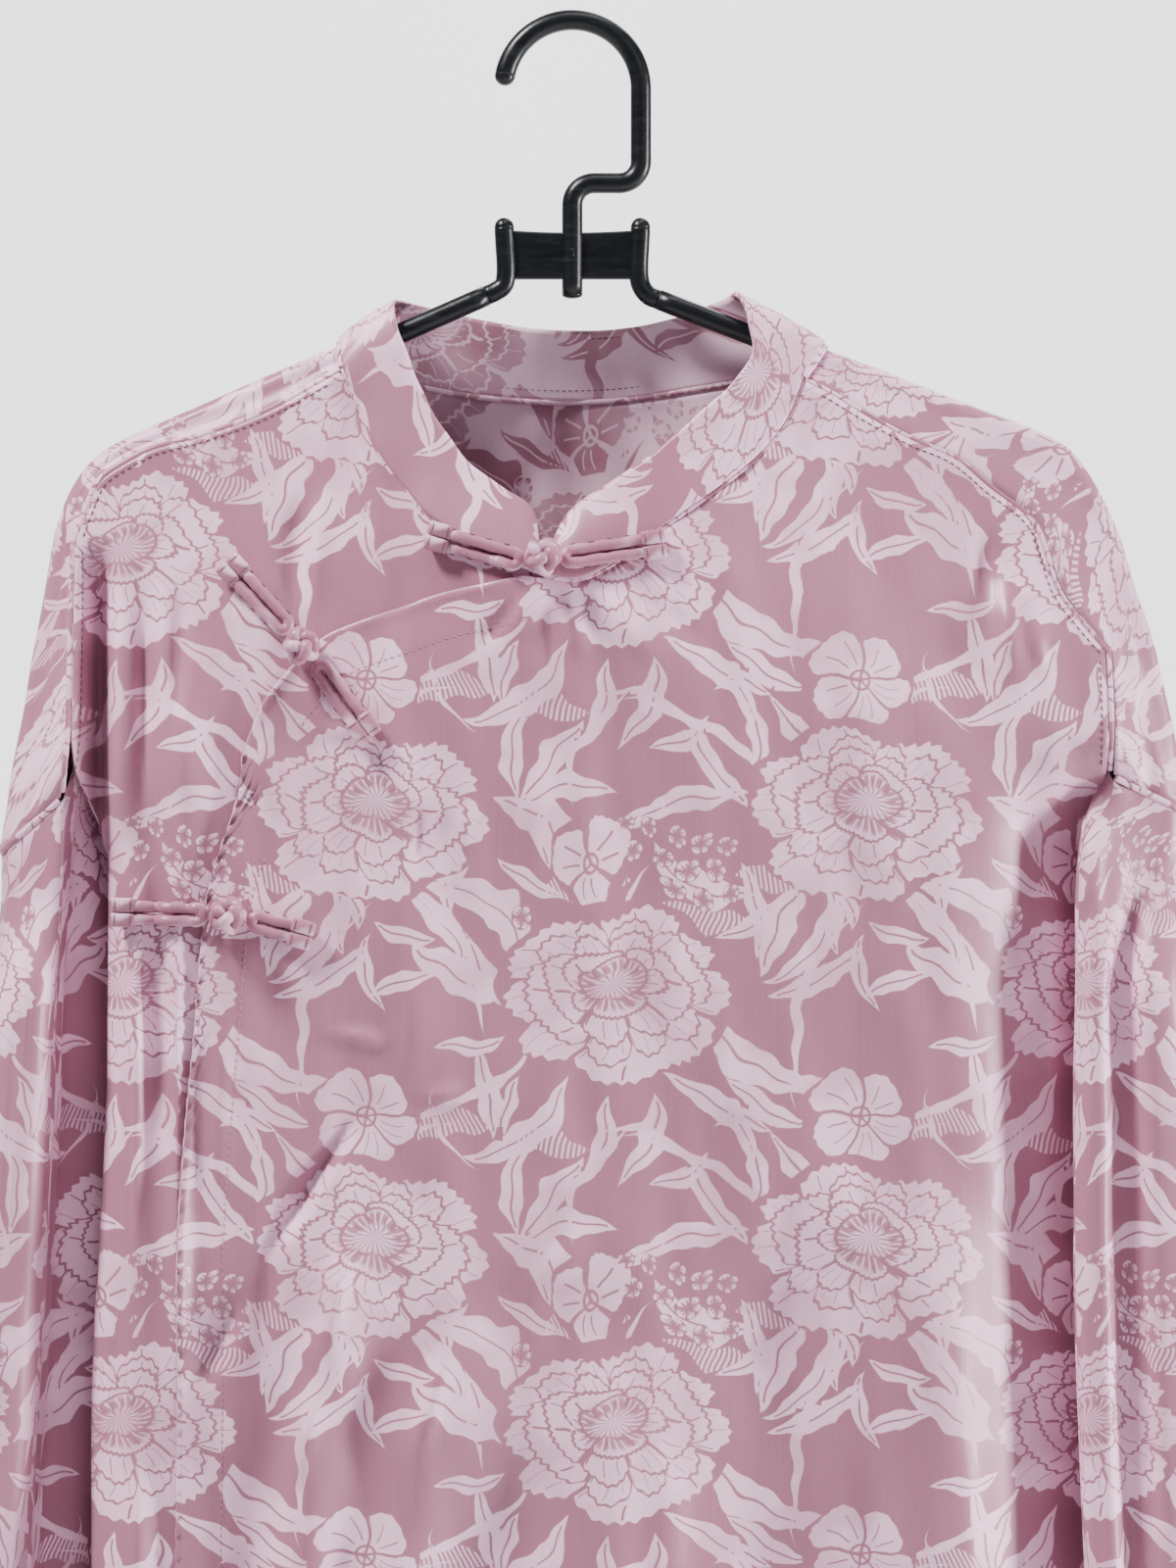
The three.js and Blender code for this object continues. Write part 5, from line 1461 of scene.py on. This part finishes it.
CLOTH = [OUTSIDE, REVERSE]
outer = front_outer(CLOTH)
under = front_under(CLOTH)
back = back_panel(CLOTH)
band = collar(CLOTH)
left_sleeve = sleeve("left", CLOTH)
right_sleeve = sleeve("right", CLOTH)

# Columns: piece, replaced node, flat width and length in metres, flat area in square metres.
SHEETS = [
    (outer, "front_outer", (0.385, 0.655), 0.215), (under, "front_under", (0.19, 0.655), 0.075),
    (back, "back", (0.56, 0.68), 0.28), (band, "collar", (0.42, 0.045), 0.0145),
    (left_sleeve, "sleeve_left", (0.19, 0.40), 0.074), (right_sleeve, "sleeve_right", (0.19, 0.41), 0.077),
]
for piece, node, flat, area in SHEETS:
    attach(piece, "root")
    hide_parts(node)

# Closures

# The knot's middle, then the block and the near end of each pair of tubes, as x, z.
CLOSURES = {
    "neck": {"knot": (-11.6, -216), "button_pair": [(-54, -208), (-21.4, -217.6)],
             "loop_pair": [(33, -211), (-2.8, -216.4)]},
    "chest": {"knot": (-108.8, -252), "button_pair": [(-137, -221), (-115.4, -244.8)],
              "loop_pair": [(-84, -285), (-102, -260)]},
    "side": {"knot": (-138.4, -360.4), "button_pair": [(-181, -359.4), (-148.4, -360.4)],
             "loop_pair": [(-109, -368), (-128.6, -362.6)]},
}
LAID_GAP = 0.3
KNOT_STRAND = 2.35
KNOT_SHELL = 4.9
KNOT_OVER = 1.15
KNOT_LATITUDE = 0.98
KNOT_LEAN = 0.4
KNOT_CORE = 4.6

depsgraph = bpy.context.evaluated_depsgraph_get()
COVER_TREES = [BVHTree.FromObject(piece, depsgraph) for piece in (outer, under, band)]


def hit_y(x, z):
    """The foremost y of the cloth at a place on the front."""
    found = []
    for tree in COVER_TREES:
        place = tree.ray_cast(Vector((x * MM, -0.3, z * MM)), Vector((0, 1, 0)))[0]
        if place is not None:
            found.append(place.y / MM)
    return min(found) if found else 0.0


def cover(x, z, reach):
    turns = [k * math.pi / 4 for k in range(8)]
    return min([hit_y(x, z)] + [hit_y(x + reach * math.cos(t), z + reach * math.sin(t)) for t in turns])


def stitch(start, end, radius):
    """A thread from start to end, its ends pulled into the cloth."""
    start, end = np.asarray(start, float), np.asarray(end, float)
    shares = np.array([0, 0.2, 0.5, 0.8, 1])
    points = start + (end - start) * shares[:, None]
    points[:, 1] += [0.35, 0, 0, 0, 0.35]
    return tube(points, radius, 6)


def strap(block, end):
    """A pair of fabric tubes: one hairpin from its block to the knot and back, its ends folded over."""
    start = np.array(block, float)
    along = np.array(end, float) - start
    length = np.linalg.norm(along)
    along /= length
    across = np.array([-along[1], along[0]]) * STRAP_SPACING / 2

    def on_cloth(distance, sideways):
        x, z = start + along * distance + across * sideways
        return [x, cover(x, z, 1.5 * STRAP_RADIUS) - STRAP_RADIUS - LAID_GAP, z]

    half = STRAP_SPACING / 2
    first = -BLOCK["length"] / 2
    runs = np.linspace(first + 1.5, length - half, 9)
    path = [on_cloth(d, 1 + 0.06 * math.sin(d * 0.7)) for d in runs]
    path += [on_cloth(length - half * (1 - math.sin(a)), math.cos(a))
             for a in np.radians([30, 60, 90, 120, 150])]
    path += [on_cloth(d, -1 + 0.06 * math.sin(d * 0.5 + 1)) for d in runs[::-1]]
    dense = evenly(path, 90)
    wobble = 1 + 0.035 * np.sin(lengths(dense) * 0.55) + 0.02 * np.sin(lengths(dense) * 1.3)
    pieces = [(tube(dense, STRAP_RADIUS, 14, flare=wobble), 0)]
    # The folded end of each tube, square at the fold.
    along3 = np.array([along[0], 0, along[1]])
    across3 = np.array([across[0], 0, across[1]])
    face = cover(start[0], start[1], BLOCK["width"] / 2)
    centre = np.array([start[0], face - LAID_GAP - BLOCK["height"] / 2 - BLOCK["lift"], start[1]])
    for side in (-1, 1):
        size = (BLOCK["length"], BLOCK["height"], BLOCK["width"] / 2 - 0.3)
        pieces.append((rounded_slab(centre + across3 * side * BLOCK["share"], along3, size), 0))
    # Bar stitches over the folded ends and a running stitch along each tube's underside seam.
    for place in BAR_PLACES:
        for side in (-1, 1):
            middle = centre + along3 * place + across3 * side * BLOCK["share"]
            middle[1] -= BLOCK["height"] / 2 - 0.12
            reach = across3 / np.linalg.norm(across3) * (BLOCK["width"] / 4 - 0.5)
            pieces.append((stitch(middle - reach, middle + reach, 0.26), 1))
    run = lengths(dense)
    for distance in np.arange(8, run[-1] - 6, 7.5):
        outward = 1 if distance < run[-1] / 2 else -1
        ends = at_shares(dense, np.array([distance, distance + 2.2]) / run[-1])
        ends = ends + across3 * outward * 0.9 + [0, -0.6, 0]
        pieces.append((stitch(*ends, 0.24), 1))
    return pieces


def knot(x, z, tilt):
    """A three-lead, four-bight knotted ball of fabric tube."""
    centre = np.array([x, cover(x, z, 0.42 * KNOT_RADIUS) - SEAM_GAP - KNOT_RADIUS, z])
    t = np.linspace(0, 2 * math.pi, 240, endpoint=False)
    reach = KNOT_SHELL + KNOT_OVER * np.sin(8 * t)
    latitude = KNOT_LATITUDE * np.sin(4 * t) + 0.05
    longitude = 3 * t + tilt
    strand = np.stack([reach * np.cos(latitude) * np.cos(longitude),
                       -reach * np.sin(latitude) * 0.98,
                       reach * np.cos(latitude) * np.sin(longitude)], axis=-1)
    c, s = math.cos(KNOT_LEAN), math.sin(KNOT_LEAN)
    strand = strand @ np.array([[1, 0, 0], [0, c, -s], [0, s, c]])
    core = ball(centre, [KNOT_CORE] * 3, 12, 20)
    return [(tube(strand + centre, KNOT_STRAND, 14, closed=True), 0), (core, 0)]


CLOSURE_SKINS = [TUBE_CLOTH, DARK_THREAD]
for index, (place, shape) in enumerate(CLOSURES.items()):
    made = {
        f"{place}_knot": knot(*shape["knot"], 0.5 + 0.9 * index),
        f"{place}_knot_strap": strap(*shape["button_pair"]),
        f"{place}_loop_strap": strap(*shape["loop_pair"]),
    }
    for node, pieces_made in made.items():
        piece = solid_piece(f"{node}_cloth", pieces_made, CLOSURE_SKINS)
        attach(piece, "root")
        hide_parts(node)

# Seams and stitches


def sewn(name, pieces_made, materials):
    piece = solid_piece(name, pieces_made, materials)
    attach(piece, "root")
    return piece


def stitch_row(line, pitch, share, radius):
    """Stitches along a line of x, z on the front cloth. One that would cross to another layer is left out."""
    run = lengths(line)
    made = []
    for distance in np.arange(pitch, run[-1] - pitch, pitch):
        spots = at_shares(line, np.array([distance, distance + pitch * share]) / run[-1])
        start, end = [[x, hit_y(x, z) - STITCH_LIFT, z] for x, z in spots]
        if abs(start[1] - end[1]) < LAYER_STEP:
            made.append((stitch(start, end, radius), 0))
    return made


def shifted(line, distance):
    """A line of x, z moved sideways, to its left as it runs."""
    along = np.gradient(line, axis=0)
    along /= np.linalg.norm(along, axis=1, keepdims=True)
    return line + np.stack([-along[:, 1], along[:, 0]], axis=-1) * distance


STITCH_LIFT = 0.12
FACING_WIDTH = 18
FACING_STITCH = {"pitch": 2.9, "share": 0.62, "radius": 0.2}
SHOULDER_STITCH = {"pitch": 3.1, "share": 0.6, "radius": 0.27}
SHOULDER_STITCH_IN = 2.2
DROP_STITCH_IN = 3.0
COLLAR_STITCH_ROWS = (0.14, 0.88)
COLLAR_STITCH_START = 14
COLLAR_INSIDE = 1.3
facing_side = shifted(OVERLAP_SIDE[4:], FACING_WIDTH)
facing_diagonal = shifted(OVERLAP_DIAGONAL[8:], -FACING_WIDTH)
sewn("facing_stitches",
     stitch_row(facing_side, **FACING_STITCH) + stitch_row(facing_diagonal, **FACING_STITCH), [PINK_THREAD])

seam_stitches = []
for side, inwards in (("left", 1), ("right", -1)):
    line = evenly(FRONT_SEAM[side]["shoulder"], 160)
    seam_stitches += stitch_row(shifted(line, inwards * SHOULDER_STITCH_IN)[6:], **SHOULDER_STITCH)
    drop = evenly(FRONT_SEAM[side]["drop"], 60)
    seam_stitches += stitch_row(drop + [inwards * DROP_STITCH_IN, 0], **SHOULDER_STITCH)
sewn("shoulder_stitches", seam_stitches, [DARK_THREAD])

# Rows of stitches inside the back of the collar: above its seam and below its top edge.
foot_line, top_line = list(collar_runs())[1]
collar_stitches = []
for share in COLLAR_STITCH_ROWS:
    level = foot_line + (top_line - foot_line) * share
    outward = level * [1, 1, 0]
    outward /= np.linalg.norm(outward, axis=1)[:, None]
    reach = COLLAR_BELLY * math.sin(math.pi * share) - COLLAR_INSIDE
    inner_face = level + outward * reach + [0, 0, COLLAR_LIFT]
    run = lengths(inner_face)
    for distance in np.arange(COLLAR_STITCH_START, run[-1] - COLLAR_STITCH_START, 2.6):
        ends = at_shares(inner_face, np.array([distance, distance + 1.6]) / run[-1])
        collar_stitches.append((stitch(*ends, 0.2), 0))
sewn("collar_stitches", collar_stitches, [DARK_THREAD])

# The turned edges that close each seam between two pieces of cloth: a line of points, radius, and 0 for the
# outside of the cloth or 1 for its reverse.
edges = []
for side, sign in (("left", -1), ("right", 1)):
    shoulder = evenly(FRONT_SEAM[side]["shoulder"], 90)[:-1]
    line = np.vstack([shoulder, evenly(FRONT_SEAM[side]["drop"], 40)])
    edges.append((front_point(line[:, 0], line[:, 1], 0.9) + [sign * 0.9, 0, 0.5], 1.15, 0))
line = np.vstack([evenly(NECK["frontLeft"], 60), evenly(NECK["frontRight"], 60)[1:]])
edges.append((front_point(line[:, 0], line[:, 1], 1.0) + [0, 0, 0.9], 1.2, 0))
line = evenly(NECK["back"], 70)[3:-3]
edges.append((back_point(line[:, 0], line[:, 1]) + [0, -0.8, 0.9], 1.2, 1))
for side in ("left", "right"):
    over_neck = curve_through(coarse_cap(side, (0, 1))[0], per=10)
    edges.append((over_neck + [0, 0, 0.6], 1.5, 0))
    over_arm = curve_through(cap_end(side), per=10)
    spots = over_arm + [0, 0, -SLEEVE_GAP / 2]
    spots[:, :2] += (over_arm.mean(axis=0)[:2] - spots[:, :2]) * 0.03
    edges.append((spots, 1.5, 0))
sewn("seam_edges", [(tube(points, radius, 8), skin) for points, radius, skin in edges], CLOTH)

# The hanger



def arc(x, z, radius, start, end, count):
    return [[x + radius * math.cos(a), 0, z + radius * math.sin(a)] for a in np.linspace(start, end, count)]


quarter = math.pi / 2
hook_path = arc(0, HOOK_CENTRE_Z, HOOK_RADIUS, HOOK_TIP_ANGLE, 0, 40)
hook_path += arc(HOOK_RADIUS - STEP_BEND, HOOK_STEP_Z + STEP_BEND, STEP_BEND, 0, -quarter, 12)
hook_path += arc(STEP_BEND, HOOK_STEP_Z - STEP_BEND, STEP_BEND, quarter, 2 * quarter, 12)
hook_path += [[0, 0, z] for z in np.linspace(HOOK_STEP_Z - STEP_BEND - 3, STEM_END_Z, 8)]


def arm_axis(arm, x):
    return [arm["side"] * x, 0, arm["entry"] - (x - ARM_ENTRY_X) * arm["slope"]]


def ribbed_plate():
    """The flat web between the posts, its top edge slightly hollow, with a rim round it."""
    xs = np.linspace(-POST["x"], POST["x"], 41)
    top = PLATE["top"] - 1.1 * (1 - (xs / POST["x"]) ** 2)
    rows = np.linspace(0, 1, 13)
    front, cloth = [], []
    for x, high in zip(xs, top):
        for share in rows:
            z = mix(high, PLATE["bottom"], share)
            edge = min(share, 1 - share) * (high - PLATE["bottom"])
            rim = 1 - float(smooth(1.4, 2.2, edge))
            front.append([x, -(PLATE["thickness"] / 2 - 0.7 * (1 - rim)), z])
            cloth.append([x, z])
    count = len(front)
    back_side = [[x, -y, z] for x, y, z in front]
    faces = []
    n = len(rows)
    for i in range(len(xs) - 1):
        for j in range(n - 1):
            a, b, c, d = i * n + j, i * n + j + 1, (i + 1) * n + j + 1, (i + 1) * n + j
            faces.append([a, b, c, d])
            faces.append([count + d, count + c, count + b, count + a])
    border = [i * n for i in range(len(xs))] + [(len(xs) - 1) * n + j for j in range(1, n)]
    border += [i * n + n - 1 for i in range(len(xs) - 2, -1, -1)] + [j for j in range(n - 2, 0, -1)]
    for k, a in enumerate(border):
        b = border[(k + 1) % len(border)]
        faces.append([a, b, count + b, count + a])
    return front + back_side, faces, cloth + cloth


# The raised mark on the stem, and the plug that joins each arm to the head.
STEM_MARK = {"z": -91, "size": (1.8, 1.1, 3.4), "proud": 0.15}
JOINT_REACH = 5
JOINT_GAP = 0.12

head = [(tube(hook_path, TUBE_RADIUS, 24), 0), (ball(hook_path[0], [TUBE_RADIUS] * 3), 0),
        (ribbed_plate(), 0),
        (ball(hook_path[-1], [TUBE_RADIUS, TUBE_RADIUS, 1.6]), 0),
        (rounded_slab(np.array([0, -TUBE_RADIUS - STEM_MARK["proud"], STEM_MARK["z"]]),
                      np.array([1.0, 0, 0]), STEM_MARK["size"]), 0)]
for arm in ARMS.values():
    elbow = evenly([[arm["side"] * POST["x"], 0, POST["top"] - POST["radius"]],
                    [arm["side"] * POST["x"], 0, POST["bottom"]],
                    arm_axis(arm, (POST["x"] + ARM_START_X) / 2), arm_axis(arm, ARM_START_X - SEAM_GAP)], 30)
    head.append((tube(elbow, POST["radius"], 20), 0))
    head.append((ball(elbow[0], [POST["radius"]] * 3), 0))
hanger_head = sewn("hanger_head_plastic", head, [PLASTIC])
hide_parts("hanger_head")
for side, arm in ARMS.items():
    axis = [arm_axis(arm, x) for x in np.linspace(ARM_START_X, arm["end"], 24)]
    joint = [arm_axis(arm, ARM_START_X + x) for x in (-JOINT_REACH, JOINT_REACH)]
    made = [(tube(axis, TUBE_RADIUS, 24), 0), (ball(axis[-1], [TUBE_RADIUS] * 3), 0),
            (tube(joint, POST["radius"] - JOINT_GAP, 20), 0)]
    piece = sewn(f"hanger_arm_{side}_plastic", made, [PLASTIC])
    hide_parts(f"hanger_arm_{side}")

# Studio

WALL_Y = 7.5
FLOOR_Z = -1.35
SWEEP = 2.5


def stage_material():
    material, shader = new_material("pale_stage")
    mottle = noise(object_place(), 1.1, 2.0, 0.5, False)
    feed(shader, "Base Color", mixed_colour((0.76, 0.765, 0.77), (0.82, 0.825, 0.83), mottle))
    set_inputs(shader, {"Roughness": 0.9})
    return material


profile = [[-9, FLOOR_Z], [0, FLOOR_Z], [WALL_Y - SWEEP, FLOOR_Z]]
profile += [[WALL_Y - SWEEP + SWEEP * math.sin(a), FLOOR_Z + SWEEP - SWEEP * math.cos(a)]
            for a in np.linspace(0.1, math.pi / 2, 16)]
profile += [[WALL_Y, 8]]
stage_verts = [[x, y, z] for x in (-14, 14) for y, z in profile]
n = len(profile)
stage_mesh = bpy.data.meshes.new("studio_sweep")
stage_mesh.from_pydata(stage_verts, [], [[k, k + 1, n + k + 1, n + k] for k in range(n - 1)])
stage_mesh.polygons.foreach_set("use_smooth", np.ones(n - 1, dtype=bool))
stage_mesh.materials.append(stage_material())
stage = placed("studio_sweep", stage_mesh)
stage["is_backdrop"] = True

world = bpy.data.worlds.new("studio")
bpy.context.scene.world = world
world.use_nodes = True
background = next(n for n in world.node_tree.nodes if n.type == "BACKGROUND")
set_inputs(background, {"Color": (0.93, 0.95, 1.0, 1)})
# The sky is seen paler than it lights, so that the backdrop stays pale where the sweep ends.
rays = world.node_tree.nodes.new("ShaderNodeLightPath")
sky = world.node_tree.nodes.new("ShaderNodeMapRange")
set_inputs(sky, {"To Min": 0.16, "To Max": 0.7})
world.node_tree.links.new(rays.outputs["Is Camera Ray"], sky.inputs["Value"])
world.node_tree.links.new(sky.outputs["Result"], background.inputs["Strength"])

CHEST = (0, 0, -0.38)
WALL_MIDDLE = (0, WALL_Y, -0.4)
# Columns: name, place in metres, what it looks at, size across and up, watts, colour.
LIGHTS = [
    ["key", (-1.3, -0.8, 1.5), CHEST, (0.45, 0.5), 128, (1.0, 0.99, 0.98)],
    ["fill", (1.4, -2.2, 0.9), CHEST, (1.4, 1.2), 7, (0.95, 0.97, 1.0)],
    ["side", (2.1, -0.4, -0.4), CHEST, (0.3, 1.2), 92, (1.0, 1.0, 1.0)],
    ["top", (0.3, -0.5, 1.7), CHEST, (1.2, 0.8), 16, (1.0, 1.0, 1.0)],
    ["rim", (0.6, 1.2, 1.2), CHEST, (1.0, 0.8), 14, (1.0, 1.0, 1.0)],
    ["wall_wash", (0, 3.4, 3.2), WALL_MIDDLE, (5.0, 5.0), 830, (1.0, 1.0, 1.0)],
]
for name, place, target, (across, tall), watts, colour in LIGHTS:
    light = bpy.data.lights.new(name, "AREA")
    light.shape = "RECTANGLE"
    light.size = across
    light.size_y = tall
    light.energy = watts
    light.color = colour
    lamp = placed(name, light)
    lamp.location = place
    lamp.rotation_euler = (Vector(target) - lamp.location).to_track_quat("-Z", "Y").to_euler()
    lamp.visible_camera = False

boxes = {"cad": cad_box, "visual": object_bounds()}
{name: [list(corner) for corner in box] for name, box in boxes.items()}
